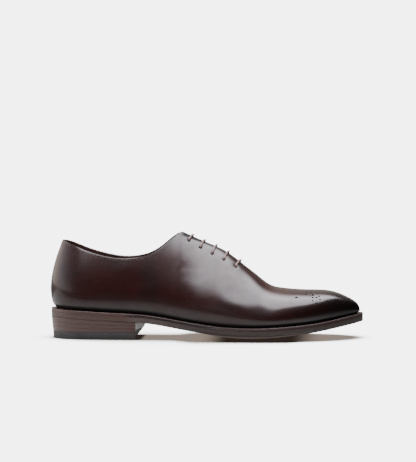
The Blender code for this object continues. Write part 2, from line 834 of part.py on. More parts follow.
def main():
    """Clear the scene and make the shoe."""
    for old in list(bpy.data.objects):
        bpy.data.objects.remove(old)
    shoe = new_collection("whole_cut_oxford")
    cutters = new_collection("cutters")
    upper_leather = material("upper_leather", (0.045, 0.014, 0.012), 0.30)
    tongue_leather = material("tongue_leather", (0.030, 0.010, 0.009), 0.45)
    insole_leather = material("insole_leather", (0.300, 0.160, 0.080), 0.55)
    edge_leather = material("edge_leather", (0.050, 0.022, 0.016), 0.40)
    heel_leather = material("heel_leather", (0.090, 0.045, 0.035), 0.45)
    heel_rubber = material("heel_rubber", (0.030, 0.029, 0.027), 0.65)
    lace_cord = material("lace_cord", (0.110, 0.055, 0.050), 0.55)
    make_upper(shoe, make_eyelet_cutter(cutters), upper_leather)
    make_tongue(shoe, tongue_leather)
    make_insole(shoe, insole_leather)
    make_welt(shoe, edge_leather)
    make_rand(shoe, edge_leather)
    make_outsole(shoe, edge_leather)
    make_heel(shoe, heel_leather, heel_rubber)
    make_laces(shoe, lace_cord)


main()
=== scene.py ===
"""Dressed model of a whole cut oxford for the right foot, in a plain pale studio.

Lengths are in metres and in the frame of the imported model: the toe points along +X, the outer side faces -Y, and
the origin lies on the floor under the middle of the heel. The last is measured from the back of the heel instead,
where a share runs from 0 at the heel to 1 at the tip of the toe.
"""

import sys
import logging
import math
from contextlib import contextmanager
from dataclasses import dataclass, field
from enum import Enum
from functools import partial, reduce
from typing import Callable, Iterator, NamedTuple, Sequence

import bpy
import numpy as np
from mathutils import Matrix, Vector


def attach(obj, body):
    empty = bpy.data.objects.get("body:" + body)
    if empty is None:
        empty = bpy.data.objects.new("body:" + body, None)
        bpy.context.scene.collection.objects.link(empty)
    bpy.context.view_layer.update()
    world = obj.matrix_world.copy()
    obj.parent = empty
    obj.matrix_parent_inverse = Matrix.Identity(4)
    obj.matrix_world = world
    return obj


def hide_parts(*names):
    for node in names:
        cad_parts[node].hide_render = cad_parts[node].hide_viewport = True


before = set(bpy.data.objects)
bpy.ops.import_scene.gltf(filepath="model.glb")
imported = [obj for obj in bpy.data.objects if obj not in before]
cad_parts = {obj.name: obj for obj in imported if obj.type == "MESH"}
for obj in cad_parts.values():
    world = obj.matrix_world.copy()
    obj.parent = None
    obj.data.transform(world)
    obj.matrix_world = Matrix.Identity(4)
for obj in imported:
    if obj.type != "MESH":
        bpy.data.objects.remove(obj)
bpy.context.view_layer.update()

LOG = logging.getLogger("oxford")
Colour = Point = tuple[float, float, float]
Span = tuple[float, float]
Array, Piece = np.ndarray, bpy.types.Object
Socket, Node, NodeTree, Material = bpy.types.NodeSocket, bpy.types.Node, bpy.types.NodeTree, bpy.types.Material


class Side(Enum):
    """The two sides of the shoe."""

    LATERAL = -1
    MEDIAL = 1

    @property
    def other(self) -> "Side":
        """The opposite side."""
        return Side(-self.value)


class Outline(NamedTuple):
    """Half widths of the sole from its centre line, as shares of the ball width."""

    share: float
    lateral: float
    medial: float


OUTLINE = tuple(Outline(*row) for row in (
    (0.05, 0.262, 0.259), (0.10, 0.307, 0.300), (0.15, 0.321, 0.313), (0.20, 0.323, 0.314),
    (0.27, 0.317, 0.302), (0.35, 0.313, 0.274), (0.42, 0.332, 0.265), (0.50, 0.380, 0.293),
    (0.58, 0.447, 0.351), (0.65, 0.497, 0.416), (0.71, 0.514, 0.452), (0.76, 0.503, 0.459),
    (0.82, 0.461, 0.430), (0.88, 0.389, 0.370), (0.93, 0.303, 0.293), (0.97, 0.197, 0.200),
))


class Ground(NamedTuple):
    """How far the sole follows the heel height, toe spring, crown, arch and swing."""

    share: float
    heel: float
    toe: float
    crown: float
    arch: float
    swing: float


GROUND = tuple(Ground(*row) for row in (
    (0.000, 1.000, 0.000, 0.00, 0.00, 0.00), (0.100, 0.902, 0.000, 0.00, 0.00, 0.00),
    (0.200, 0.804, 0.000, 0.00, 0.00, 0.00), (0.270, 0.735, 0.000, 0.00, 0.00, 0.00),
    (0.340, 0.600, 0.000, 0.22, 0.55, 0.00), (0.410, 0.380, 0.000, 0.42, 1.00, 0.00),
    (0.480, 0.180, 0.000, 0.66, 0.70, 0.00), (0.550, 0.045, 0.000, 0.88, 0.20, 0.03),
    (0.620, 0.000, 0.000, 1.00, 0.00, 0.10), (0.690, 0.000, 0.030, 1.00, 0.00, 0.19),
    (0.780, 0.000, 0.180, 0.86, 0.00, 0.34), (0.860, 0.000, 0.390, 0.62, 0.00, 0.55),
    (0.930, 0.000, 0.695, 0.36, 0.00, 0.78), (1.000, 0.000, 1.000, 0.00, 0.00, 1.00),
))


class Section(NamedTuple):
    """Cross section of the last, as shares of the instep rise, ball width, half width and section height."""

    share: float
    rise: float
    bulge: float
    side: float
    shoulder: float
    shoulder_height: float
    crown: float
    ridge_shift: float


SECTIONS = tuple(Section(*row) for row in (
    (0.000, 1.115, 0.034, 0.36, 0.84, 0.70, 0.52, 0.000), (0.100, 1.125, 0.040, 0.36, 0.79, 0.70, 0.45, 0.000),
    (0.200, 1.122, 0.044, 0.38, 0.76, 0.72, 0.40, 0.000), (0.290, 1.100, 0.048, 0.42, 0.73, 0.74, 0.36, 0.006),
    (0.360, 1.060, 0.048, 0.45, 0.69, 0.77, 0.32, 0.012), (0.420, 1.000, 0.045, 0.47, 0.66, 0.80, 0.30, 0.018),
    (0.494, 0.926, 0.044, 0.48, 0.66, 0.81, 0.30, 0.022), (0.555, 0.851, 0.043, 0.49, 0.68, 0.82, 0.32, 0.022),
    (0.620, 0.684, 0.040, 0.50, 0.71, 0.84, 0.35, 0.020), (0.657, 0.580, 0.038, 0.52, 0.74, 0.86, 0.37, 0.018),
    (0.698, 0.465, 0.035, 0.54, 0.78, 0.89, 0.40, 0.014), (0.738, 0.417, 0.032, 0.57, 0.81, 0.92, 0.43, 0.010),
    (0.799, 0.380, 0.029, 0.61, 0.84, 0.95, 0.46, 0.004), (0.860, 0.352, 0.026, 0.64, 0.86, 0.97, 0.48, 0.000),
    (0.900, 0.318, 0.023, 0.66, 0.87, 0.98, 0.49, 0.000), (0.941, 0.246, 0.019, 0.66, 0.88, 0.98, 0.50, 0.000),
    (0.971, 0.177, 0.015, 0.66, 0.88, 0.98, 0.50, 0.000), (0.991, 0.116, 0.011, 0.66, 0.88, 0.98, 0.50, 0.000),
    (1.000, 0.046, 0.009, 0.66, 0.88, 0.98, 0.50, 0.000),
))


class TopLine(NamedTuple):
    """How far the collar climbs from the ankle to the back and to the instep, by share of the throat's distance."""

    share: float
    to_back: float
    to_instep: float


TOP_LINE = tuple(TopLine(*row) for row in (
    (0.000, 1.060, 0.000), (0.101, 1.000, 0.000), (0.219, 0.617, 0.000), (0.351, 0.240, 0.000),
    (0.482, 0.030, 0.000), (0.570, 0.000, 0.003), (0.658, 0.000, 0.050), (0.746, 0.000, 0.160),
    (0.833, 0.000, 0.397), (0.921, 0.000, 0.741), (0.978, 0.000, 0.945), (1.060, 0.000, 1.170),
))


class LaceStop(NamedTuple):
    """An eyelet on the lace's way, with rows counted from the vamp. A run of None crosses over the throat next."""

    row: int
    side: Side
    run: int | None


LACE_STOPS = (
    LaceStop(3, Side.LATERAL, None),
    LaceStop(3, Side.MEDIAL, 1),
    LaceStop(1, Side.MEDIAL, None),
    LaceStop(1, Side.LATERAL, 0),
    LaceStop(0, Side.LATERAL, None),
    LaceStop(0, Side.MEDIAL, -1),
    LaceStop(2, Side.MEDIAL, None),
    LaceStop(2, Side.LATERAL, 1),
    LaceStop(4, Side.LATERAL, None),
    LaceStop(4, Side.MEDIAL, 0),
)


class Spline:
    """Natural cubic curve through knots that runs on straight past both ends."""

    def __init__(self, knots: Sequence[float], values: Sequence[float]) -> None:
        """Solve the curve's bends.

        Args:
            knots: Rising positions.
            values: The curve's value at each of them.
        """
        self.x, self.y = np.array(knots, float), np.array(values, float)
        h, slope = np.diff(self.x), np.diff(self.y) / np.diff(self.x)
        system, right = np.eye(len(self.x)), np.zeros(len(self.x))
        for i in range(1, len(h)):
            system[i, i - 1 : i + 2] = h[i - 1], 2 * (h[i - 1] + h[i]), h[i]
            right[i] = 6 * (slope[i] - slope[i - 1])
        self.bend = np.linalg.solve(system, right)

    def __call__(self, at: float) -> float:
        """Value of the curve.

        Args:
            at: Position along the curve.

        Returns:
            The height there.
        """
        x, y, bend = self.x, self.y, self.bend
        last = len(x) - 1
        if at < x[0] or at > x[-1]:
            end, inner = (0, 1) if at < x[0] else (last, last - 1)
            slope = (y[end] - y[inner]) / (x[end] - x[inner]) + (x[end] - x[inner]) * bend[inner] / 6
            return float(y[end] + slope * (at - x[end]))
        i = min(max(int(np.searchsorted(x, at)) - 1, 0), last - 1)
        h, p, q = x[i + 1] - x[i], x[i + 1] - at, at - x[i]
        cubic = (bend[i] * p**3 + bend[i + 1] * q**3) / (6 * h)
        return float(cubic + (y[i] / h - bend[i] * h / 6) * p + (y[i + 1] / h - bend[i + 1] * h / 6) * q)


@dataclass(frozen=True)
class ShoeSizes:
    """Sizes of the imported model, repeated so that each dressed piece keeps its place."""

    sole_length: float = 0.306
    ball_width: float = 0.104
    heel_back_radius: float = 0.033
    toe_tip_radius: float = 0.020
    toe_swing: float = 0.009
    heel_height: float = 0.0213
    toe_spring: float = 0.0167
    ball_edge_lift: float = 0.0046
    sole_crown: float = 0.0054
    crown_power: float = 1.25
    arch_rise: float = 0.0030
    outsole_thickness: float = 0.0052
    welt_thickness: float = 0.0028
    welt_underlap: float = 0.0030
    margins: tuple[Span, ...] = (
        (0.00, 0.0032), (0.22, 0.0032), (0.40, 0.0028), (0.62, 0.0046), (0.90, 0.0046), (1.00, 0.0034),
    )
    heel_centre: float = 0.040
    breast_distance: float = 0.0850
    breast_hollow: float = 0.0030
    breast_inner_reach: float = 0.0057
    breast_inner_cut: float = 0.0080
    heel_taper: float = 0.0020
    top_piece_thickness: float = 0.0070
    leather_lifts: int = 3
    instep_rise: float = 0.0838
    ankle_rise: float = 0.0530
    back_rise: float = 0.0666
    wall: float = 0.0020
    throat_top: float = 0.1285
    throat_end: float = 0.1883
    throat_half_gap: float = 0.0014
    tongue_thickness: float = 0.0018
    tongue_top: float = 0.1255
    tongue_front: float = 0.2010
    tongue_spread_share: float = 0.40
    insole_thickness: float = 0.0030
    lace_diameter: float = 0.0022
    eyelet_diameter: float = 0.0036
    first_eyelet: float = 0.1855
    last_eyelet: float = 0.1391
    eyelet_setback: float = 0.0035
    eyelet_depths: tuple[float, ...] = (0.240, 0.246, 0.236, 0.212, 0.180)
    run_offset: float = 0.033
    clearance: float = 0.0003
    lace_clearance: float = 0.0005
    back_lean: tuple[float, ...] = (0.000, -0.042, -0.085, 0.078, 0.315, 0.300)
    back_lean_share: float = 0.26
    low_side_share: float = 0.38
    high_bulge_share: float = 0.80


class Last:
    """The surface that the upper is shaped on, and the sole's outline and heights under it.

    Points are measured from the heel's back. A station is a place along the last, from 0 at the heel to 1 at the
    toe, and a step t is a place up one half section, from 0 at the sole's edge to 1 on the ridge.
    """

    STEP = 1e-3

    def __init__(self, sizes: ShoeSizes) -> None:
        """Prepare the curves.

        Args:
            sizes: Sizes of the shoe.
        """
        self.sizes = sizes
        self.widths = {side: self._outline(side) for side in Side}
        self.ground = self._columns(GROUND)
        self.sections = self._columns(SECTIONS, self.station_of)
        self.top = self._columns(TOP_LINE)
        self._kept: dict[tuple[float, Side], Array] = {}

    @staticmethod
    def _columns(table: Sequence[NamedTuple], knot: Callable[[float], float] = float) -> dict[str, Spline]:
        """Smooth curve through each column of a table.

        Args:
            table: Rows with a share and named values.
            knot: Turns a share into the curve's position.

        Returns:
            The curves by the columns' names.
        """
        knots = [knot(row.share) for row in table]
        return {name: Spline(knots, [getattr(row, name) for row in table]) for name in table[0]._fields[1:]}

    def _outline(self, side: Side) -> Spline:
        """Half width of one side over the stations, divided by the roundness of the ends.

        Args:
            side: Which side.

        Returns:
            Half widths, one for each station.
        """
        s = self.sizes
        rows = [(0.0, math.sqrt(s.heel_back_radius * s.sole_length / 2))]
        for row in OUTLINE:
            half = getattr(row, side.name.lower()) * s.ball_width
            rows.append((self.station_of(row.share), half / self.roundness(row.share)))
        rows.append((1.0, math.sqrt(s.toe_tip_radius * s.sole_length / 2)))
        return Spline(*zip(*rows))

    @staticmethod
    def roundness(share: float) -> float:
        """Half width of a circle at a share of its length."""
        return 2 * math.sqrt(share * (1 - share))

    @staticmethod
    def share_of(station: float) -> float:
        """Share of the length at a station; stations crowd towards the round heel and toe."""
        return (1 - math.cos(math.pi * station)) / 2

    @staticmethod
    def station_of(share: float) -> float:
        """Station at a share of the length."""
        return math.acos(1 - 2 * min(max(share, 0), 1)) / math.pi

    def placed(self, point: Sequence[float]) -> Array:
        """A point measured from the heel's back, in the shoe's frame."""
        return np.array(point, float) - (self.sizes.heel_centre, 0, 0)

    def centre_line(self, share: float) -> float:
        """Y of the sole's centre line, which swings inwards at the toe."""
        return self.sizes.toe_swing * self.ground["swing"](share)

    def inset_edge(self, station: float, side: Side, inset: float) -> Array:
        """The sole's outline moved inwards.

        Args:
            station: Place along the sole.
            side: Which side.
            inset: Distance inwards.

        Returns:
            X and Y of the point.
        """
        back, edge, ahead = (self.sole_edge(station + step, side) for step in (-1e-4, 0, 1e-4))
        along = ahead - back
        along /= np.linalg.norm(along)
        return edge + side.value * np.array([along[1], -along[0]]) * inset

    def sole_edge(self, station: float, side: Side) -> Array:
        """X and Y of the sole's outline.

        Args:
            station: Place along the last.
            side: Which side.

        Returns:
            The point on the outline.
        """
        share = self.share_of(station)
        half = self.widths[side](station) * math.sin(math.pi * station)
        return np.array([share * self.sizes.sole_length, self.centre_line(share) + side.value * half])

    def margin(self, station: float) -> float:
        """Width of the sole that shows beside the upper."""
        return float(np.interp(self.share_of(station), *zip(*self.sizes.margins)))

    def across(self, x: float, y: float) -> float:
        """Position across the sole.

        Args:
            x: Distance from the heel's back.
            y: Distance towards the inner side.

        Returns:
            -1 at the lateral edge to 1 at the medial edge.
        """
        share = min(max(x / self.sizes.sole_length, 0), 1)
        station, centre = self.station_of(share), self.centre_line(share)
        low, high = (centre + side.value * self.widths[side](station) * self.roundness(share) for side in Side)
        if high - low < 1e-6:
            return 0.0
        return min(max((2 * y - low - high) / (high - low), -1), 1)

    def under_edge(self, x: float, y: float) -> float:
        """Height of the outsole's lower face before it is crowned.

        Args:
            x: Distance from the heel's back.
            y: Distance to the inner side.

        Returns:
            Height over the floor.
        """
        s = self.sizes
        share = min(max(x / s.sole_length, 0), 1)
        height = s.ball_edge_lift + (s.heel_height - s.ball_edge_lift) * self.ground["heel"](share)
        height += (s.toe_spring - s.ball_edge_lift) * self.ground["toe"](share)
        return height + s.arch_rise * self.ground["arch"](share) * (1 + self.across(x, y)) / 2

    def tread(self, x: float, y: float) -> float:
        """Height of the outsole's lower face, crowned and flat where the ball stands on the floor.

        Args:
            x: Distance from the heel's back.
            y: Distance to the inner side.

        Returns:
            Height over the floor.
        """
        s = self.sizes
        crown = s.sole_crown * max(self.ground["crown"](x / s.sole_length), 0)
        return max(self.under_edge(x, y) - crown * (1 - abs(self.across(x, y)) ** s.crown_power), 0)

    def seat(self, x: float, y: float) -> float:
        """Height of the plane where the upper meets the sole."""
        return self.under_edge(x, y) + self.sizes.outsole_thickness + self.sizes.welt_thickness

    def controls(self, station: float, side: Side) -> Array:
        """Six control points of one half section, from the sole's edge up to the ridge.

        Args:
            station: Place along the last.
            side: Which side.

        Returns:
            The points.
        """
        key = (station, side)
        if key in self._kept:
            return self._kept[key]
        s, margin = self.sizes, self.margin(station)
        value = {name: curve(station) for name, curve in self.sections.items()}
        edge, other = self.inset_edge(station, side, margin), self.inset_edge(station, side.other, margin)
        outward = edge - self.inset_edge(station, side, margin + s.ball_width)
        outward /= np.linalg.norm(outward)
        middle = self.centre_line(self.share_of(station)) + value["ridge_shift"] * s.ball_width
        ridge = np.array([(edge[0] + other[0]) / 2, middle])
        base = self.seat(*edge)
        top = self.seat(*ridge) + value["rise"] * s.instep_rise
        bulge = outward * value["bulge"] * s.ball_width
        plan = [edge, edge + bulge, edge + bulge * s.high_bulge_share]
        plan += [ridge + (edge - ridge) * value[name] for name in ("shoulder", "crown")] + [ridge]
        rises = (0, value["side"] * s.low_side_share, value["side"], value["shoulder_height"], 1, 1)
        fade = max(1 - self.share_of(station) / s.back_lean_share, 0) ** 2
        self._kept[key] = np.array([
            (at[0] + lean * fade * s.back_rise, at[1], base + (top - base) * rise)
            for at, rise, lean in zip(plan, rises, s.back_lean)
        ])
        return self._kept[key]

    def section(self, station: float, side: Side, steps: Sequence[float]) -> Array:
        """Points up one half section, one row for each step."""
        basis = [[math.comb(5, i) * t**i * (1 - t) ** (5 - i) for i in range(6)] for t in steps]
        return np.array(basis) @ self.controls(station, side)

    def point(self, station: float, side: Side, t: float) -> Array:
        """Point of the last's surface."""
        return self.section(station, side, (t,))[0]

    def normal(self, station: float, side: Side, t: float) -> Array:
        """Unit normal of the last's surface, pointing out of the shoe.

        Args:
            station: Place along the last.
            side: Which side.
            t: Step up the half section.

        Returns:
            The normal.
        """
        low, high = max(t - self.STEP, 0), min(t + self.STEP, 1)
        back = min(max(station - self.STEP, self.STEP), 1 - 3 * self.STEP)
        up = self.point(station, side, high) - self.point(station, side, low)
        along = self.point(back + 2 * self.STEP, side, t) - self.point(back, side, t)
        normal = np.cross(up, along) * side.value
        return normal / np.linalg.norm(normal)

    def over(self, place: Span, side: Side, height: float) -> Array:
        """Point at a height over the last's surface, in the shoe's frame.

        Args:
            place: Station and step.
            side: Which side.
            height: Distance outwards, or inwards where it is negative.

        Returns:
            The point.
        """
        station, t = place
        return self.placed(self.point(station, side, t) + self.normal(station, side, t) * height)

    def top_line(self, x: float, y: float) -> float:
        """Height of the collar's edge.

        Args:
            x: Distance from the heel's back.
            y: Distance to the inner side.

        Returns:
            Height over the floor.
        """
        s = self.sizes
        share = x / s.throat_top
        rise = s.ankle_rise + (s.back_rise - s.ankle_rise) * self.top["to_back"](share)
        return self.seat(x, y) + rise + (s.instep_rise - s.ankle_rise) * self.top["to_instep"](share)

    def throat_gap(self, x: float) -> float:
        """Half the gap between the facings, which closes to a point at the vamp.

        Args:
            x: Distance from the heel's back.

        Returns:
            Half the width of the gap.
        """
        s = self.sizes
        left = (s.throat_end - x) / (s.throat_end - s.throat_top)
        return s.throat_half_gap * math.sqrt(min(max(left, 0), 1))

    @staticmethod
    def halved(test: Callable[[float], bool], rounds: int) -> float:
        """Place between 0 and 1 up to which a test holds.

        Args:
            test: True below the place that is sought.
            rounds: How often the span is halved.

        Returns:
            The place.
        """
        low, high = 0.0, 1.0
        for _ in range(rounds):
            middle = (low + high) / 2
            low, high = (middle, high) if test(middle) else (low, middle)
        return low

    def station_at(self, x: float) -> float:
        """Station whose ridge lies at a distance from the heel's back."""
        return self.halved(lambda middle: self.controls(middle, Side.LATERAL)[-1][0] < x, 30)

    def eyelet(self, row: int) -> Span:
        """Station and step of an eyelet, with rows counted from the vamp up to the collar.

        Args:
            row: Row of the eyelet.

        Returns:
            Station and step.
        """
        s = self.sizes
        x = s.first_eyelet + (s.last_eyelet - s.first_eyelet) * row / (len(s.eyelet_depths) - 1)
        return self.station_at(x - s.eyelet_setback), 1 - s.eyelet_depths[row]


class Bench:
    """Blender's modelling operators, used on one piece at a time."""

    @staticmethod
    def pick(*pieces: Piece) -> None:
        """Select only these pieces, the first of them active."""
        bpy.ops.object.select_all(action="DESELECT")
        for piece in pieces:
            piece.select_set(True)
        if pieces:
            bpy.context.view_layer.objects.active = pieces[0]

    @staticmethod
    def named(name: str) -> Piece:
        """The piece that an operator has just made, with its name.

        Args:
            name: Name to give.

        Returns:
            The piece.
        """
        piece = bpy.context.object
        piece.name = piece.data.name = name
        return piece

    @classmethod
    @contextmanager
    def editing(cls, piece: Piece) -> Iterator[None]:
        """Hold a piece in edit mode with all of its mesh selected.

        Args:
            piece: The piece.
        """
        cls.pick(piece)
        bpy.ops.object.mode_set(mode="EDIT")
        bpy.ops.mesh.select_all(action="SELECT")
        yield
        bpy.ops.object.mode_set(mode="OBJECT")

    @classmethod
    def sheet(cls, name: str, points: Array, uv: Array | None = None) -> Piece:
        """Add a grid and lay it on a surface.

        Args:
            name: Name of the piece.
            points: Columns by rows by three coordinates.
            uv: Columns by rows by two coordinates of the piece's own map, or none.

        Returns:
            The piece.
        """
        columns, rows = points.shape[0] - 1, points.shape[1] - 1
        cls.pick()
        bpy.ops.mesh.primitive_grid_add(x_subdivisions=columns, y_subdivisions=rows, size=1)
        piece = cls.named(name)
        flat, mesh = cls.coordinates(piece), piece.data
        column = np.rint((flat[:, 0] + 0.5) * columns).astype(int)
        row = np.rint((flat[:, 1] + 0.5) * rows).astype(int)
        cls.move(piece, points[column, row])
        if uv is not None:
            corners = np.empty(len(mesh.loops), int)
            mesh.loops.foreach_get("vertex_index", corners)
            mesh.uv_layers[0].name = "Laid"
            mesh.uv_layers[0].data.foreach_set("uv", uv[column, row][corners].astype(np.float32).ravel())
        return piece

    @classmethod
    def strip(cls, name: str, rings: Array, levels: Array, gap: float) -> Piece:
        """Closed piece laid over rings, whose map gives the length along it and the level of each point.

        Args:
            name: Name of the piece.
            rings: Rings by points by three coordinates.
            levels: Level of each point, for one ring or for all.
            gap: Greatest distance between points that are merged.

        Returns:
            The piece.
        """
        uv = np.stack(np.broadcast_arrays(cls.lengths(rings[:, 0])[:, None], levels), axis=-1)
        piece = cls.sheet(name, rings, uv)
        cls.weld(piece, gap, close=True)
        cls.smooth(piece, 40)
        return piece

    @staticmethod
    def _read(items: bpy.types.bpy_prop_collection, name: str) -> Array:
        """Three numbers of each item, one row each.

        Args:
            items: Vertices or other items of a mesh.
            name: Property to read.

        Returns:
            The numbers.
        """
        flat = np.empty(len(items) * 3)
        items.foreach_get(name, flat)
        return flat.reshape(-1, 3)

    @classmethod
    def coordinates(cls, piece: Piece) -> Array:
        """Coordinates of a piece's points, one row each."""
        return cls._read(piece.data.vertices, "co")

    @classmethod
    def normals(cls, piece: Piece) -> Array:
        """Normals at a piece's points, one row each."""
        return cls._read(piece.data.vertex_normals, "vector")

    @staticmethod
    def move(piece: Piece, points: Array) -> None:
        """Put a piece's points at new coordinates."""
        piece.data.vertices.foreach_set("co", np.asarray(points, np.float32).ravel())
        piece.data.update()

    @classmethod
    def weld(cls, piece: Piece, distance: float = 0.00003, close: bool = False) -> None:
        """Merge the points that meet and turn the faces outwards.

        Args:
            piece: The piece.
            distance: Greatest distance between points that are merged.
            close: Whether open ends are filled.
        """
        with cls.editing(piece):
            bpy.ops.mesh.remove_doubles(threshold=distance)
            if close:
                bpy.ops.mesh.fill_holes(sides=0)
                bpy.ops.mesh.select_all(action="SELECT")
            bpy.ops.mesh.normals_make_consistent(inside=False)

    @classmethod
    def join(cls, name: str, pieces: Sequence[Piece]) -> Piece:
        """Make one piece of several.

        Args:
            name: Name to give.
            pieces: The pieces, which are used up.

        Returns:
            The joined piece.
        """
        cls.pick(*pieces)
        bpy.ops.object.join()
        return cls.named(name)

    @classmethod
    def modify(cls, piece: Piece, kind: str, **settings: object) -> None:
        """Add a modifier with its settings and apply it.

        Args:
            piece: The piece.
            kind: Kind of modifier.
            settings: Settings of the modifier.
        """
        cls.pick(piece)
        modifier = piece.modifiers.new(kind.title(), kind)
        for name, value in settings.items():
            setattr(modifier, name, value)
        bpy.ops.object.modifier_apply(modifier=modifier.name)

    @classmethod
    def bevel(cls, piece: Piece, width: float, degrees: float) -> None:
        """Round the edges that are sharper than an angle."""
        limit = math.radians(degrees)
        cls.modify(piece, "BEVEL", width=width, segments=2, limit_method="ANGLE", angle_limit=limit)

    @classmethod
    def smooth(cls, piece: Piece, degrees: float) -> None:
        """Shade a piece smooth, with edges sharper than an angle kept."""
        cls.pick(piece)
        bpy.ops.object.shade_smooth_by_angle(angle=math.radians(degrees))

    @classmethod
    def repeat(cls, name: str, pattern: Piece, places: Sequence[Matrix]) -> Piece:
        """Copy a small piece to many places, as one joined mesh, and drop the first.

        Args:
            name: Name of the joined piece.
            pattern: The piece to copy.
            places: Where each copy goes.

        Returns:
            The joined piece.
        """
        points = np.c_[cls.coordinates(pattern), np.ones(len(pattern.data.vertices))]
        faces = [tuple(polygon.vertices) for polygon in pattern.data.polygons]
        turned = [points @ np.array(place).T for place in places]
        all_faces = [[i + n * len(points) for i in face] for n in range(len(turned)) for face in faces]
        mesh = bpy.data.meshes.new(name)
        mesh.from_pydata(np.concatenate(turned)[:, :3].tolist(), [], all_faces)
        piece = bpy.data.objects.new(name, mesh)
        bpy.context.collection.objects.link(piece)
        bpy.data.objects.remove(pattern)
        return piece

    @classmethod
    def tube(cls, name: str, path: Array, radius: float, sides: int) -> Piece:
        """Round bar along a path, with its length and its turn as its own map.

        Args:
            name: Name of the piece.
            path: Points of the middle line.
            radius: Radius of the bar.
            sides: Faces round it.

        Returns:
            The piece.
        """
        along = np.gradient(path, axis=0)
        along /= np.linalg.norm(along, axis=1)[:, None]
        across = np.cross(along[0], (0.31, 0.17, 0.93))
        rings, turns = [], np.linspace(0, 2 * math.pi, sides + 1)
        for centre, direction in zip(path, along):
            across -= direction * (across @ direction)
            across /= np.linalg.norm(across)
            up = np.cross(direction, across)
            rings.append(centre + radius * (np.cos(turns)[:, None] * across + np.sin(turns)[:, None] * up))
        uv = np.broadcast_arrays(cls.lengths(path)[:, None], np.linspace(0, 1, sides + 1)[None])
        piece = cls.sheet(name, np.array(rings), np.stack(uv, axis=-1))
        cls.weld(piece, 0.00001, close=True)
        cls.smooth(piece, 60)
        return piece

    @staticmethod
    def lengths(path: Array) -> Array:
        """Length along a path up to each of its points."""
        return np.r_[0, np.cumsum(np.linalg.norm(np.diff(path, axis=0), axis=1))]

    @classmethod
    def even(cls, points: Array, spacing: float) -> Array:
        """Points at even spacing along a path.

        Args:
            points: The path.
            spacing: Wanted distance between points.

        Returns:
            The new path.
        """
        lengths = cls.lengths(points)
        wanted = np.linspace(0, lengths[-1], max(round(lengths[-1] / spacing), 1) + 1)
        return np.stack([np.interp(wanted, lengths, column) for column in points.T], axis=1)


class NodeSheet:
    """A node tree with short calls for what the finishes use."""

    def __init__(self, tree: NodeTree) -> None:
        """Keep the tree.

        Args:
            tree: The tree to add nodes to.
        """
        self.tree = tree

    def add(self, kind: str, inputs: dict | None = None, **settings: object) -> Node:
        """Add a node.

        Args:
            kind: Blender's name of the node, without its ShaderNode.
            inputs: Values or sockets for its inputs, by name or number.
            settings: The node's own settings.

        Returns:
            The node.
        """
        node = self.tree.nodes.new("ShaderNode" + kind)
        for name, value in settings.items():
            setattr(node, name, value)
        for name, value in (inputs or {}).items():
            self.feed(node.inputs[name], value)
        return node

    def feed(self, socket: Socket, value: object) -> None:
        """Link a socket or set its value.

        Args:
            socket: Socket to feed.
            value: Socket or number to feed it with.
        """
        if isinstance(value, Socket):
            self.tree.links.new(value, socket)
        elif isinstance(value, tuple) and len(value) == 3 and socket.type == "RGBA":
            socket.default_value = (*value, 1)
        else:
            socket.default_value = value

    def math(self, operation: str, a: object, b: object = 0.0, clamp: bool = False) -> Socket:
        """Result of a sum on two values or sockets."""
        return self.add("Math", {0: a, 1: b}, operation=operation, use_clamp=clamp).outputs[0]

    def plus(self, a: object, b: object) -> Socket:
        """Sum of two values or sockets."""
        return self.math("ADD", a, b)

    def minus(self, a: object, b: object) -> Socket:
        """First value less the second."""
        return self.math("SUBTRACT", a, b)

    def times(self, *values: object) -> Socket:
        """Product of values or sockets."""
        return reduce(partial(self.math, "MULTIPLY"), values)

    def most(self, *values: object) -> Socket:
        """Greatest of values or sockets."""
        return reduce(partial(self.math, "MAXIMUM"), values)

    def axes(self, vector: object) -> Sequence[Socket]:
        """The three parts of a vector."""
        return tuple(self.add("SeparateXYZ", {0: vector}).outputs)

    def mix(self, share: object, a: object, b: object) -> Socket:
        """Colour between two colours."""
        return self.add("Mix", {0: share, 6: a, 7: b}, data_type="RGBA").outputs[2]

    def ramp(self, value: object, low: object, high: object, to: tuple = (0.0, 1.0)) -> Socket:
        """Soft step of a value from one limit to another."""
        inputs = {"Value": value, "From Min": low, "From Max": high, "To Min": to[0], "To Max": to[1]}
        return self.add("MapRange", inputs, interpolation_type="SMOOTHSTEP").outputs[0]

    def noise(self, vector: object, scale: object, detail: float = 2.0, rough: float = 0.5) -> Socket:
        """Noise from 0 to 1."""
        inputs = {"Vector": vector, "Scale": scale, "Detail": detail, "Roughness": rough}
        return self.add("TexNoise", inputs).outputs[0]

    def place(self) -> Socket:
        """Object coordinates of the piece."""
        return self.add("TexCoord").outputs["Object"]

    def laid(self) -> tuple[Socket, Socket]:
        """Both coordinates of the piece's own map."""
        split = self.add("SeparateXYZ", {0: self.add("UVMap", uv_map="Laid").outputs[0]})
        return split.outputs[0], split.outputs[1]

    def use(self, group: NodeTree, inputs: dict) -> Node:
        """Place a shared group with its values."""
        return self.add("Group", inputs, node_tree=group)


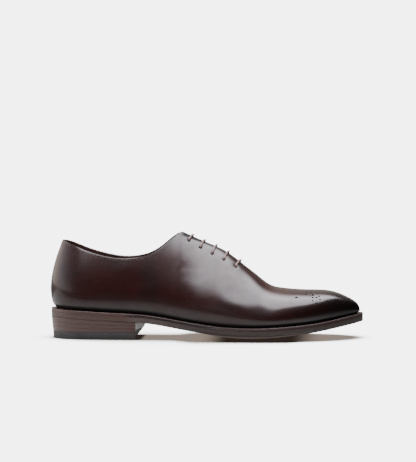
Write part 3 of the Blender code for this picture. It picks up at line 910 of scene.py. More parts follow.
class Effects:
    """Shader node groups that more than one finish uses, each built once."""

    _made: dict[str, NodeTree] = {}

    @classmethod
    def _group(
        cls, name: str, inputs: dict[str, float | None], outputs: Sequence[str], fill: Callable[..., Sequence[Socket]]
    ) -> NodeTree:
        """Build a group, or give the one that was built before.

        Args:
            name: Name of the group.
            inputs: Named inputs, each with its number, or None for a vector.
            outputs: Names of the number outputs.
            fill: Takes the sheet and the inputs' sockets, and gives a socket for each output.

        Returns:
            The group.
        """
        if name in cls._made:
            return cls._made[name]
        tree = cls._made[name] = bpy.data.node_groups.new(name, "ShaderNodeTree")
        for label, value in inputs.items():
            kind = "NodeSocketVector" if value is None else "NodeSocketFloat"
            socket = tree.interface.new_socket(label, in_out="INPUT", socket_type=kind)
            if value is not None:
                socket.default_value = value
        for label in outputs:
            tree.interface.new_socket(label, in_out="OUTPUT", socket_type="NodeSocketFloat")
        sheet = NodeSheet(tree)
        given, out = tree.nodes.new("NodeGroupInput"), tree.nodes.new("NodeGroupOutput")
        for socket, value in zip(out.inputs, fill(sheet, *(given.outputs[label] for label in inputs))):
            sheet.feed(socket, value)
        return tree

    @classmethod
    def grain(cls) -> NodeTree:
        """Leather grain: small cells with pores between them, as a height.

        Returns:
            The shared group.
        """

        def fill(sheet: NodeSheet, vector: Socket, cell: Socket, pores: Socket) -> Sequence[Socket]:
            """Cells with a finer noise.

            Args:
                sheet: Sheet of the group to fill.
                vector: Coordinates.
                cell: Size of a cell.
                pores: Depth of the pores.

            Returns:
                The height.
            """
            scale = sheet.math("DIVIDE", 1.0, cell)
            cells = sheet.add("TexVoronoi", {"Vector": vector, "Scale": scale}, feature="SMOOTH_F1")
            fine = sheet.noise(vector, sheet.times(scale, 0.45), 4.0, 0.6)
            return (sheet.minus(fine, sheet.times(cells.outputs[0], pores)),)

        return cls._group("leather_grain", {"Vector": None, "Cell": 0.0006, "Pores": 0.5}, ("Height",), fill)

    @classmethod
    def clouds(cls) -> NodeTree:
        """Cloudy hand patina: broad soft patches with finer ones in them, from 0 to 1.

        Returns:
            The shared group.
        """

        def fill(sheet: NodeSheet, vector: Socket, patch: Socket, contrast: Socket) -> Sequence[Socket]:
            """Noise drawn apart round its middle."""
            broad = sheet.noise(vector, sheet.math("DIVIDE", 1.0, patch), 3.0, 0.55)
            return (sheet.ramp(broad, sheet.minus(0.5, contrast), sheet.plus(0.5, contrast)),)

        return cls._group("cloudy_patina", {"Vector": None, "Patch": 0.03, "Contrast": 0.2}, ("Mask",), fill)

    @classmethod
    def layers(cls) -> NodeTree:
        """Layers of pressed leather seen from their edge: fine level streaks and joints between the layers.

        Returns:
            The shared group.
        """

        def fill(
            sheet: NodeSheet, vector: Socket, level: Socket, layers: Socket, width: Socket
        ) -> Sequence[Socket]:
            """Streaks drawn out level, and joints that wander a little.

            Args:
                sheet: Sheet of the group to fill.
                vector: Coordinates.
                level: Height in the piece as a share.
                layers: Number of layers.
                width: Width of a joint as a share of a layer.

            Returns:
                The streaks and the joints.
            """
            drawn = sheet.add("Mapping", {"Vector": vector, "Scale": (120.0, 120.0, 1900.0)}).outputs[0]
            streak = sheet.noise(drawn, 1.0, 4.0, 0.7)
            wander = sheet.times(sheet.minus(sheet.noise(vector, 60.0, 2.0), 0.5), 0.16)
            level = sheet.plus(sheet.times(level, layers), wander)
            near = sheet.math("ABSOLUTE", sheet.minus(sheet.math("FRACT", level), 0.5))
            return streak, sheet.ramp(near, sheet.minus(0.5, width), 0.5)

        inputs = {"Vector": None, "Level": 0.0, "Layers": 6.0, "Joint": 0.06}
        return cls._group("leather_layers", inputs, ("Streak", "Joint"), fill)

    @classmethod
    def plait(cls) -> NodeTree:
        """Plaited or twisted cord over its own map, as a height from 0 to 1.

        Returns:
            The shared group.
        """

        def fill(sheet: NodeSheet, length: Socket, turn: Socket, pitch: Socket, strands: Socket) -> Sequence[Socket]:
            """Waves that wind both ways round the cord.

            Args:
                sheet: Sheet of the group to fill.
                length: Length along the cord.
                turn: Turn round the cord.
                pitch: Length of one twist.
                strands: Number of strands.

            Returns:
                The height.
            """
            along, turn = sheet.math("DIVIDE", length, pitch), sheet.times(turn, strands)
            phases = (sheet.times(join(along, turn), math.pi) for join in (sheet.plus, sheet.minus))
            return (sheet.most(*(sheet.math("ABSOLUTE", sheet.math("SINE", phase)) for phase in phases)),)

        inputs = {"Length": 0.0, "Turn": 0.0, "Pitch": 0.002, "Strands": 6.0}
        return cls._group("plaited_cord", inputs, ("Height",), fill)


@dataclass(frozen=True)
class Finish:
    """What every finish has: a name, its plain gloss, and how deep its relief is."""

    name: str
    roughness: float = 0.5
    relief: float = 0.0001
    coat: float = 0.0
    coat_roughness: float = 0.2
    specular: float = 0.5

    def begin(self) -> tuple[NodeSheet, Node]:
        """Start a material.

        Returns:
            Its node sheet and its main shader.
        """
        made = bpy.data.materials.new(self.name)
        made.use_nodes = True
        shader = made.node_tree.nodes["Principled BSDF"]
        shader.inputs["Roughness"].default_value = self.roughness
        shader.inputs["Coat Weight"].default_value = self.coat
        shader.inputs["Coat Roughness"].default_value = self.coat_roughness
        shader.inputs["Specular IOR Level"].default_value = self.specular
        return NodeSheet(made.node_tree), shader

    def complete(self, sheet: NodeSheet, shader: Node, colour: object, height: object) -> Material:
        """Feed a colour and a relief to the shader.

        Args:
            sheet: The material's nodes.
            shader: Its main shader.
            colour: The colour.
            height: The height that is pressed in.

        Returns:
            The finished material.
        """
        bump = sheet.add("Bump", {"Strength": 1.0, "Distance": self.relief, "Height": height})
        sheet.feed(shader.inputs["Base Color"], colour)
        sheet.feed(shader.inputs["Normal"], bump.outputs[0])
        return bpy.data.materials[self.name]

    def material(self) -> Material:
        """Build the material; each finish has its own."""
        raise NotImplementedError


@dataclass(frozen=True)
class BurnishedCalf(Finish):
    """Polished calf with a hand patina, burnished nearly black at the toe and the heel and darker towards the sole,
    with painted shade that blackens the crevice at its foot and the cut edges at the throat and collar.

    A span gives where a mask starts and where it is full: in X, in distance from the sole or from the cut edge.
    """

    light: Colour = (0.026, 0.0058, 0.0048)
    dark: Colour = (0.0095, 0.0024, 0.0022)
    black: Colour = (0.0040, 0.0028, 0.0028)
    toe: Span = (0.165, 0.262)
    heel: Span = (0.010, -0.040)
    low: Span = (0.030, 0.004)
    # crevice: height of the upper's foot painted black, partly a dark edge dye and partly painted shade of the
    # crevice over the welt.
    crevice: float = 0.0026
    heel_crevice: float = 1.4
    # Painted shade along the cut edges: black along the throat for the shade between the facings, and a thin brink
    # along the collar for the shaded inside; partly a dark edge dye.
    throat: Span = (0.0855, 0.0915)
    facing: Span = (0.0885, 0.1450)
    edge_width: Span = (0.0078, 0.0022)
    shade_by_edge: Span = (0.0095, 0.0020)
    shaded_brink: Span = (0.0012, 0.0007)
    brink_start: Span = (0.035, 0.055)
    quarter_back: Span = (-0.036, -0.016)
    quarter_front: Span = (0.080, 0.010)
    quarter_low: Span = (0.016, 0.030)
    quarter_edge: Span = (0.0012, 0.0020)
    heel_polish: float = 0.35
    patch: float = 0.034
    patch_contrast: float = 0.17
    patch_share: float = 0.75
    small_patch: float = 0.009
    small_contrast: float = 0.30
    small_share: float = 0.10
    end_shade: Span = (0.0, 0.55)
    crevice_span: Span = (0.05, 0.12)
    crevice_blend: Span = (1.6, 0.6)
    edge_blend: Span = (1.25, 0.7)
    near_share: float = 0.55
    cloud_gloss: float = 0.06
    toe_gloss: float = 0.08
    dull_gloss: float = 0.35
    worn_polish: float = 0.78
    grain_cell: float = 0.00055

    def material(self) -> Material:
        """Build the material.

        Returns:
            Calf whose map gives the distance from the sole and from the cut edge.
        """
        sheet, shader = self.begin()
        place = sheet.place()
        x = sheet.axes(place)[0]
        from_sole, from_edge = sheet.laid()
        inputs = {"Vector": place, "Patch": self.patch, "Contrast": self.patch_contrast}
        cloud = sheet.use(Effects.clouds(), inputs).outputs[0]
        inputs = {"Vector": place, "Patch": self.small_patch, "Contrast": self.small_contrast}
        small = sheet.use(Effects.clouds(), inputs).outputs[0]
        toe = sheet.ramp(x, *self.toe)
        ends = sheet.most(
            sheet.ramp(x, *self.heel, self.end_shade), sheet.ramp(from_sole, *self.low, self.end_shade)
        )
        burnish = sheet.plus(ends, sheet.times(small, self.small_share))
        patchy = sheet.math("MAXIMUM", burnish, sheet.times(cloud, self.patch_share), clamp=True)
        colour = sheet.mix(toe, sheet.mix(patchy, self.light, self.dark), self.black)
        # Painted shade: the foot of the upper, tucked into the crevice over the welt, is coloured black and dulled;
        # partly a dark edge dye.
        crevice_shade_height = sheet.ramp(x, *self.crevice_span, (self.crevice * self.heel_crevice, self.crevice))
        foot = sheet.ramp(from_sole, *(sheet.times(crevice_shade_height, share) for share in self.crevice_blend))
        # Painted shade: the cut edge goes black along the throat and in a thin brink along the collar, partly edge
        # dye and partly the shade there.
        throat = sheet.ramp(x, *self.throat)
        width = sheet.ramp(x, *self.facing, self.edge_width)
        edge = sheet.ramp(from_edge, *(sheet.times(width, share) for share in self.edge_blend))
        edge = sheet.times(edge, throat)
        shaded_brink = sheet.times(sheet.ramp(from_edge, *self.shaded_brink), sheet.ramp(x, *self.brink_start))
        edge = sheet.most(edge, shaded_brink)
        near = sheet.times(sheet.ramp(from_edge, *self.shade_by_edge), throat, self.near_share)
        # Painted shade: the cut edges and the crevice at the foot are coloured black.
        colour = sheet.mix(edge, sheet.mix(foot, colour, self.black), self.black)
        dull = sheet.most(foot, edge, near)
        gloss = sheet.plus(sheet.times(cloud, self.cloud_gloss), self.roughness - self.cloud_gloss / 2)
        gloss = sheet.minus(gloss, sheet.times(toe, self.toe_gloss))
        sheet.feed(shader.inputs["Roughness"], sheet.plus(gloss, sheet.times(dull, self.dull_gloss)))
        quarter = sheet.times(
            sheet.ramp(x, *self.quarter_back), sheet.ramp(x, *self.quarter_front),
            sheet.ramp(from_sole, *self.quarter_low), sheet.ramp(from_edge, *self.quarter_edge),
        )
        polish = sheet.ramp(quarter, 0.0, 1.0, (self.coat, self.coat * self.heel_polish))
        polish = sheet.times(polish, sheet.ramp(small, 0.0, 1.0, (1.0, self.worn_polish)))
        sheet.feed(shader.inputs["Coat Weight"], sheet.times(sheet.minus(1.0, dull), polish))
        grain = sheet.use(Effects.grain(), {"Vector": place, "Cell": self.grain_cell, "Pores": 0.5}).outputs[0]
        return self.complete(sheet, shader, colour, grain)


@dataclass(frozen=True)
class PlainLeather(Finish):
    """Leather without polish, for the lining, the tongue, the insole and the sole's underside."""

    light: Colour = (0.20, 0.10, 0.05)
    dark: Colour = (0.12, 0.06, 0.03)
    grain_cell: float = 0.0009
    patch: float = 0.012

    def material(self) -> Material:
        """Build the material.

        Returns:
            Leather with soft patches and grain.
        """
        sheet, shader = self.begin()
        place = sheet.place()
        cloud = sheet.use(Effects.clouds(), {"Vector": place, "Patch": self.patch, "Contrast": 0.28}).outputs[0]
        sheet.feed(shader.inputs["Roughness"], sheet.ramp(cloud, 0.0, 1.0, (self.roughness - 0.05, self.roughness)))
        grain = sheet.use(Effects.grain(), {"Vector": place, "Cell": self.grain_cell, "Pores": 0.7}).outputs[0]
        return self.complete(sheet, shader, sheet.mix(cloud, self.light, self.dark), grain)


@dataclass(frozen=True)
class LayeredEdge(Finish):
    """Waxed leather seen from its cut edge, with streaks and joints that run level; spans are in X."""

    light: Colour = (0.10, 0.048, 0.036)
    dark: Colour = (0.045, 0.020, 0.015)
    joint: Colour = (0.010, 0.006, 0.005)
    heel_light: Colour = (0.080, 0.045, 0.036)
    heel_dark: Colour = (0.058, 0.031, 0.025)
    layers: float = 6.0
    joint_width: float = 0.06
    joint_share: float = 0.6
    front_share: float = 1.0
    waist_groove_shade: float = 0.0
    patch: float = 0.02
    patch_share: float = 0.35
    streaks: Span = (0.32, 0.68)
    streak_gloss: float = 0.08
    joint_depth: float = 1.5
    # Levels between which the painted groove shade darkens the edge.
    line: Span = (0.62, 0.42)
    heel: Span = (0.046, 0.030)
    front: Span = (0.045, 0.115)
    waist_back: Span = (0.032, 0.040)
    waist_front: Span = (0.140, 0.100)

    def material(self) -> Material:
        """Build the material.

        Returns:
            Edge whose map gives the length round the piece and the level up it.
        """
        sheet, shader = self.begin()
        place = sheet.place()
        x, level = sheet.axes(place)[0], sheet.laid()[1]
        inputs = {"Vector": place, "Level": level, "Layers": self.layers, "Joint": self.joint_width}
        made = sheet.use(Effects.layers(), inputs)
        cloud = sheet.use(Effects.clouds(), {"Vector": place, "Patch": self.patch, "Contrast": 0.3}).outputs[0]
        streak = sheet.ramp(made.outputs["Streak"], *self.streaks)
        heel = sheet.ramp(x, *self.heel)
        dark = sheet.mix(heel, self.dark, self.heel_dark)
        colour = sheet.mix(streak, dark, sheet.mix(heel, self.light, self.heel_light))
        colour = sheet.mix(sheet.times(cloud, self.patch_share), colour, dark)
        joint = sheet.times(made.outputs["Joint"], self.joint_share)
        # Painted shade: a dark line along the welt's groove at the waist.
        waist = sheet.times(sheet.ramp(x, *self.waist_back), sheet.ramp(x, *self.waist_front))
        line = sheet.times(sheet.ramp(level, *self.line), self.waist_groove_shade)
        colour = sheet.mix(sheet.times(waist, line), colour, self.joint)
        front = sheet.ramp(x, *self.front, (0.0, 1.0 - self.front_share))
        colour = sheet.mix(front, colour, (0.0, 0.0, 0.0))
        gloss = (self.roughness, self.roughness - self.streak_gloss)
        sheet.feed(shader.inputs["Roughness"], sheet.ramp(streak, 0.0, 1.0, gloss))
        height = sheet.minus(made.outputs["Streak"], sheet.times(joint, self.joint_depth))
        return self.complete(sheet, shader, sheet.mix(joint, colour, self.joint), height)


@dataclass(frozen=True)
class Rubber(Finish):
    """Moulded rubber with fine specks and one glued joint across it."""

    light: Colour = (0.040, 0.039, 0.036)
    dark: Colour = (0.022, 0.021, 0.020)
    cut: Colour = (0.004, 0.004, 0.004)
    joint_x: float = 0.0098
    joint_lean: float = 0.25
    joint_edge: Span = (0.00045, 0.0001)
    joint_top: Span = (0.0040, 0.0030)

    def material(self) -> Material:
        """Build the material.

        Returns:
            Matt rubber.
        """
        sheet, shader = self.begin()
        place = sheet.place()
        x, y, z = sheet.axes(place)
        speck = sheet.noise(place, 2600.0, 3.0, 0.6)
        grey = sheet.ramp(sheet.plus(speck, sheet.noise(place, 70.0, 2.0)), 0.8, 1.2)
        lean = sheet.times(sheet.math("ABSOLUTE", y), self.joint_lean)
        off = sheet.math("ABSOLUTE", sheet.minus(sheet.plus(x, lean), self.joint_x))
        cut = sheet.times(sheet.ramp(off, *self.joint_edge), sheet.ramp(z, *self.joint_top))
        colour = sheet.mix(cut, sheet.mix(grey, self.dark, self.light), self.cut)
        return self.complete(sheet, shader, colour, sheet.minus(speck, sheet.times(cut, 4.0)))


@dataclass(frozen=True)
class Cord(Finish):
    """Waxed plaited cotton of the lace."""

    light: Colour = (0.27, 0.175, 0.160)
    dark: Colour = (0.150, 0.088, 0.080)
    pitch: float = 0.0017
    strands: float = 5.0

    def material(self) -> Material:
        """Build the material.

        Returns:
            Cord whose map gives its length and its turn.
        """
        sheet, shader = self.begin()
        length, turn = sheet.laid()
        inputs = {"Length": length, "Turn": turn, "Pitch": self.pitch, "Strands": self.strands}
        height = sheet.use(Effects.plait(), inputs).outputs[0]
        fibre = sheet.noise(sheet.place(), 9000.0, 2.0)
        # Painted shade and highlight: the plait's raised strands are coloured light and its grooves dark.
        colour = sheet.mix(sheet.ramp(height, 0.55, 0.98), self.dark, self.light)
        colour = sheet.mix(sheet.times(fibre, 0.3), colour, self.dark)
        return self.complete(sheet, shader, colour, sheet.plus(height, sheet.times(fibre, 0.15)))


@dataclass(frozen=True)
class Thread(Finish):
    """Waxed sewing thread, twisted along each stitch."""

    light: Colour = (0.12, 0.055, 0.045)
    dark: Colour = (0.035, 0.014, 0.012)

    def material(self) -> Material:
        """Build the material.

        Returns:
            Thread with fine fibres.
        """
        sheet, shader = self.begin()
        fibre = sheet.noise(sheet.place(), 5200.0, 3.0, 0.6)
        return self.complete(sheet, shader, sheet.mix(sheet.ramp(fibre, 0.35, 0.65), self.dark, self.light), fibre)


@dataclass(frozen=True)
class StitchRow:
    """A row of sewn stitches of one size."""

    length: float = 0.0024
    gap: float = 0.0005
    thickness: float = 0.00055
    sink: float = 0.00008
    normal_share: float = 0.001
    crown: float = 0.15
    droop: float = 0.75
    stand: float = 0.2

    def _stitch(self) -> Piece:
        """One stitch: a round bead drawn out along X, its ends pressed down.

        Returns:
            The stitch.
        """
        Bench.pick()
        bpy.ops.mesh.primitive_uv_sphere_add(segments=8, ring_count=6, radius=0.5)
        stitch = bpy.context.object
        with Bench.editing(stitch):
            bpy.ops.transform.rotate(value=math.pi / 2, orient_axis="Y", center_override=(0, 0, 0))
            bpy.ops.transform.resize(value=(self.length, self.thickness, self.thickness))
        points = Bench.coordinates(stitch)
        ends = (points[:, 0] / (self.length / 2)) ** 4
        points[:, 2] += self.thickness * (self.crown - self.droop * ends) - self.sink
        Bench.move(stitch, points)
        return stitch

    def lay(self, name: str, paths: Sequence[tuple[Array, Array]]) -> Piece:
        """Sew along paths.

        Args:
            name: Name of the piece.
            paths: Each a path of points with the surface normal at each point.

        Returns:
            All stitches as one piece.
        """
        places = []
        for points, normals in paths:
            # Four points a stitch; the normals ride along, scaled down so that they don't count as length.
            both = Bench.even(np.c_[points, normals * self.normal_share], (self.length + self.gap) / 4)
            for i in range(2, len(both) - 2, 4):
                along = both[i + 2, :3] - both[i - 2, :3]
                up = both[i, 3:] - along * (both[i, 3:] @ along) / (along @ along)
                x, z = Vector(along).normalized(), Vector(up).normalized()
                turn = Matrix((x, z.cross(x), z)).transposed().to_4x4()
                turn.translation = Vector(both[i, :3]) + z * self.thickness * self.stand
                places.append(turn)
        piece = Bench.repeat(name, self._stitch(), places)
        Bench.smooth(piece, degrees=80)
        return piece


@dataclass
class Assembly:
    """A part of the shoe that is built and dressed on its own."""

    last: Last

    def build(self) -> list[Piece]:
        """Make the pieces; each part has its own way."""
        raise NotImplementedError

    @staticmethod
    def dress(
        piece: Piece, slot: str, finishes: Sequence[Material], nodes: Sequence[str] = ()
    ) -> Piece:
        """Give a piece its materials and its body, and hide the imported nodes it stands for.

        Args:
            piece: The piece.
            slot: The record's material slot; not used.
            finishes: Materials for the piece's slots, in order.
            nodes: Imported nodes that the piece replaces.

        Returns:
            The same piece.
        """
        kept = [polygon.material_index for polygon in piece.data.polygons]
        piece.data.materials.clear()
        for finish in finishes:
            piece.data.materials.append(finish)
        piece.data.polygons.foreach_set("material_index", kept)
        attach(piece, "root")
        if nodes:
            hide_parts(*nodes)
        return piece


class Fold(NamedTuple):
    """A soft trough or ridge over the upper, seen from the side, with its depth inwards and its half width."""

    x0: float
    z0: float
    x1: float
    z1: float
    depth: float
    width: float


class Pinhole(NamedTuple):
    """A punched hole of the toe's ornament: distance from the heel's back, step up the section, and radius."""

    x: float
    t: float
    radius: float


@dataclass
class Upper(Assembly):
    """The one piece upper with its lining, punched holes and sewn edges."""

    collar_stations: int = 48
    throat_stations: int = 60
    vamp_stations: int = 66
    rows: int = 44
    corner: float = 0.0032
    tuck: float = 0.0021
    tuck_heights: Span = (0.0054, 0.0028)
    tuck_span: Span = (-0.02, 0.12)
    rim: float = 0.0009
    dimple: float = 0.00035
    dimple_width: float = 0.0024
    pinhole_depth: float = 0.0011
    edge_seam: float = 0.0022
    uncut: float = 0.05
    inside: Point = (0.10, 0.0, 0.03)
    folds: tuple[Fold, ...] = tuple(Fold(*row) for row in (
        (0.070, 0.074, 0.112, 0.066, 0.00030, 0.0050), (0.078, 0.064, 0.118, 0.058, 0.00022, 0.0045),
        (0.030, 0.052, 0.066, 0.060, 0.00025, 0.0070), (0.020, 0.068, 0.052, 0.072, -0.00020, 0.0060),
        (0.128, 0.048, 0.158, 0.044, 0.00016, 0.0060), (0.150, 0.034, 0.190, 0.032, 0.00014, 0.0070),
        (-0.020, 0.050, 0.012, 0.046, 0.00016, 0.0080), (0.108, 0.038, 0.232, 0.034, -0.00055, 0.0065),
    ))
    pinholes: tuple[Pinhole, ...] = tuple(Pinhole(*row) for row in (
        (0.2414, 0.606, 0.00150), (0.2572, 0.666, 0.00150), (0.2570, 0.591, 0.00120), (0.2605, 0.586, 0.00120),
        (0.2631, 0.616, 0.00110), (0.2542, 0.626, 0.00069), (0.2601, 0.448, 0.00075), (0.2570, 0.505, 0.00075),
        (0.2640, 0.520, 0.00094), (0.2505, 0.700, 0.00094), (0.2500, 0.760, 0.00075), (0.2555, 0.770, 0.00100),
        (0.2610, 0.740, 0.00075), (0.2515, 0.830, 0.00094), (0.2600, 0.840, 0.00075), (0.2480, 0.900, 0.00075),
        (0.2560, 0.905, 0.00120), (0.2640, 0.905, 0.00075), (0.2455, 0.965, 0.00094), (0.2520, 0.970, 0.00075),
        (0.2600, 0.970, 0.00094), (0.2665, 0.970, 0.00075),
    ))
    ends: dict[Side, Array] = field(default_factory=dict)

    def _limit(self, point: Array, ridge: Array) -> bool:
        """Whether a point of the last is cut away for the collar or for the throat.

        Args:
            point: Point measured from the heel's back.
            ridge: The same section's point on the ridge.

        Returns:
            True where the upper has ended.
        """
        s = self.last.sizes
        x, y, z = point
        if x < s.throat_top + 1e-6 and z > self.last.top_line(x, y):
            return True
        return s.throat_top - s.wall < x < s.throat_end - 1e-6 and abs(y - ridge[1]) < self.last.throat_gap(x)

    def _end(self, station: float, side: Side) -> float:
        """Step up a half section where the upper ends, before its corner is rounded, or 1 on the ridge.

        Args:
            station: Place along the last.
            side: Which side.

        Returns:
            The step.
        """
        ridge = self.last.controls(station, side)[-1]
        if not self._limit(ridge, ridge):
            return 1.0
        return self.last.halved(lambda step: not self._limit(self.last.point(station, side, step), ridge), 24)

    def _ends(self, stations: Array, side: Side) -> Array:
        """Where every half section ends, with the corner of collar and facing rounded.

        Args:
            stations: Places along the last.
            side: Which side.

        Returns:
            One step for each station.
        """
        ends = np.array([self._end(station, side) for station in stations])
        ridge = np.array([self.last.controls(station, side)[-1][0] for station in stations])
        corner, top = self.last.sizes.throat_top, self.corner
        before, middle, after = np.interp((corner - top, corner, corner + top), ridge, ends)
        share = (ridge - corner + top) / (2 * top)
        curve = (1 - share) ** 2 * before + 2 * share * (1 - share) * middle + share**2 * after
        return np.where((share > 0) & (share < 1), np.minimum(curve, ends), ends)

    def _stations(self) -> Array:
        """Stations of the shell, with one on the throat's top and one on its end.

        Returns:
            The stations.
        """
        s = self.last.sizes
        top, end = self.last.station_at(s.throat_top), self.last.station_at(s.throat_end)
        spans = ((0, top, self.collar_stations), (top, end, self.throat_stations))
        back = [np.linspace(*span, endpoint=False) for span in spans]
        return np.concatenate([*back, np.linspace(end, 1, self.vamp_stations)])

    def _half(self, side: Side, stations: Array) -> Piece:
        """One side of the shell as a sheet.

        Args:
            side: Which side.
            stations: Places along the last.

        Returns:
            The sheet, whose map gives the distance from the sole and from the cut edge.
        """
        last = self.last
        self.ends[side] = self._ends(stations, side)
        points, uv = [], []
        for station, end in zip(stations, self.ends[side]):
            line = last.section(station, side, np.linspace(0, 1, self.rows + 1) * end)
            lengths = Bench.lengths(line)
            line[:, 2] += last.sizes.clearance
            points.append(last.placed((0, 0, 0)) + line)
            uv.append(np.c_[lengths, (lengths[-1] - lengths) if end < 1 else np.full(len(lengths), self.uncut)])
        return Bench.sheet(f"upper_{side.name.lower()}", np.array(points), np.array(uv))

    def _shape(self, shell: Piece) -> None:
        """Tuck the foot of the upper in, and press folds and the rims of holes into it.

        Args:
            shell: The open shell.
        """
        s = self.last.sizes
        points, normals = Bench.coordinates(shell), Bench.normals(shell)
        seat = np.array([self.last.seat(x + s.heel_centre, y) for x, y, _ in points])
        height = np.interp(points[:, 0], self.tuck_span, self.tuck_heights)
        foot = np.clip(1 - (points[:, 2] - seat) / height, 0, 1) ** 1.6 * self.tuck
        level = normals * (1, 1, 0)
        level /= np.maximum(np.linalg.norm(level, axis=1), 1e-6)[:, None]
        depth = np.zeros(len(points))
        for fold in self.folds:
            start, end = np.array(fold[:2]), np.array(fold[2:4])
            along, off = end - start, points[:, (0, 2)] - start
            share = np.clip((off @ along) / (along @ along), 0, 1)
            off = np.linalg.norm(off - share[:, None] * along, axis=1)
            depth += fold.depth * np.sin(np.pi * np.clip(share, 0.08, 0.92)) * np.exp(-((off / fold.width) ** 2))
        for centre, _, radius in self._holes():
            off = np.linalg.norm(points - centre, axis=1)
            share = radius / (s.eyelet_diameter / 2)
            depth += self.dimple * min(share, 1) * np.exp(-((off / (self.dimple_width * share)) ** 2))
        Bench.move(shell, points - normals * depth[:, None] - level * foot[:, None])

    def _holes(self) -> list[tuple[Array, Array, float]]:
        """Centre, direction and radius of every hole, the eyelets first.

        Returns:
            One row for each hole.
        """
        last, s = self.last, self.last.sizes
        holes = [(last.eyelet(row), s.eyelet_diameter / 2) for row in range(len(s.eyelet_depths))]
        holes += [((last.station_at(hole.x), hole.t), hole.radius) for hole in self.pinholes]
        return [
            (last.over(place, side, 0), last.normal(place[0], side, place[1]), radius)
            for place, radius in holes for side in Side
        ]

    def _punches(self) -> Piece:
        """All punches as one cutter: right through at the eyelets and part way at the pinholes.

        Returns:
            The cutter.
        """
        punches, wall = [], self.last.sizes.wall
        through = len(self.last.sizes.eyelet_depths) * len(Side)
        for count, (centre, direction, radius) in enumerate(self._holes()):
            depth = wall * 2 if count < through else self.pinhole_depth
            Bench.pick()
            bpy.ops.mesh.primitive_cone_add(
                vertices=24 if count < through else 14,
                radius1=radius * 0.92,
                radius2=radius * 1.06,
                depth=wall + depth,
                location=Vector(centre) + Vector(direction) * (wall - depth) / 2,
                rotation=Vector(direction).to_track_quat("Z", "Y").to_euler(),
            )
            bpy.ops.object.transform_apply(location=True, rotation=True, scale=True)
            punches.append(bpy.context.object)
        cutter = Bench.join("punches", punches)
        self._open_slots(cutter)
        cutter.data.polygons.foreach_set("material_index", [2] * len(cutter.data.polygons))
        return cutter

    @staticmethod
    def _open_slots(piece: Piece) -> None:
        """Give a piece three empty material slots: outside, lining and the punched edge."""
        for _ in range(3):
            piece.data.materials.append(None)

    def _seam(self, stations: Array, side: Side) -> tuple[Array, Array]:
        """Path of the stitches along the collar and the facing.

        Args:
            stations: Places along the last.
            side: Which side.

        Returns:
            Points and normals, from the back to the throat's end.
        """
        last, points, normals = self.last, [], []
        for station, end in zip(stations, self.ends[side]):
            if end >= 1:
                break
            steps = np.linspace(end * 0.8, end, 24)
            left = Bench.lengths(last.section(station, side, steps)[::-1])
            t = float(np.interp(self.edge_seam, left, steps[::-1]))
            points.append(last.over((station, t), side, 0))
            normals.append(last.normal(station, side, t))
        return np.array(points), np.array(normals)

    def build(self) -> list[Piece]:
        """Make the shell and its stitches.

        Returns:
            The pieces.
        """
        stations = self._stations()
        shell = Bench.join("whole_cut_upper", [self._half(side, stations) for side in Side])
        Bench.weld(shell, distance=0.00005)
        if ((Bench.coordinates(shell) - self.inside) * Bench.normals(shell)).sum() < 0:
            shell.data.flip_normals()
        self._shape(shell)
        self._open_slots(shell)
        wall = self.last.sizes.wall
        Bench.modify(shell, "SOLIDIFY", thickness=wall, offset=-1, use_even_offset=True, material_offset=1)
        Bench.bevel(shell, self.rim, degrees=50)
        cutter = self._punches()
        Bench.modify(shell, "BOOLEAN", operation="DIFFERENCE", object=cutter, solver="EXACT")
        bpy.data.objects.remove(cutter)
        Bench.smooth(shell, degrees=48)
        calf = BurnishedCalf(
            "burnished_calf", roughness=0.34, relief=0.00006, coat=0.72, coat_roughness=0.12, specular=0.28
        )
        lining = PlainLeather(
            "lining_leather", roughness=0.62, relief=0.00012, light=(0.098, 0.052, 0.040), dark=(0.062, 0.032, 0.025)
        )
        # Painted shade: the walls of the punched holes are near black, standing for the shade inside the holes.
        hole = PlainLeather(
            "punched_edge_shade", roughness=0.85, relief=0.0001, light=(0.012, 0.006, 0.005), dark=(0.005, 0.003, 0.003)
        )
        finishes = [finish.material() for finish in (calf, lining, hole)]
        self.dress(shell, "upper_leather", finishes, ("upper",))
        row = StitchRow(length=0.0017, gap=0.0005, thickness=0.00042)
        seam = row.lay("edge_stitches", [self._seam(stations, side) for side in Side])
        self.dress(seam, "upper_leather", (Thread("upper_thread", roughness=0.5, relief=0.00005).material(),))
        return [shell, seam]


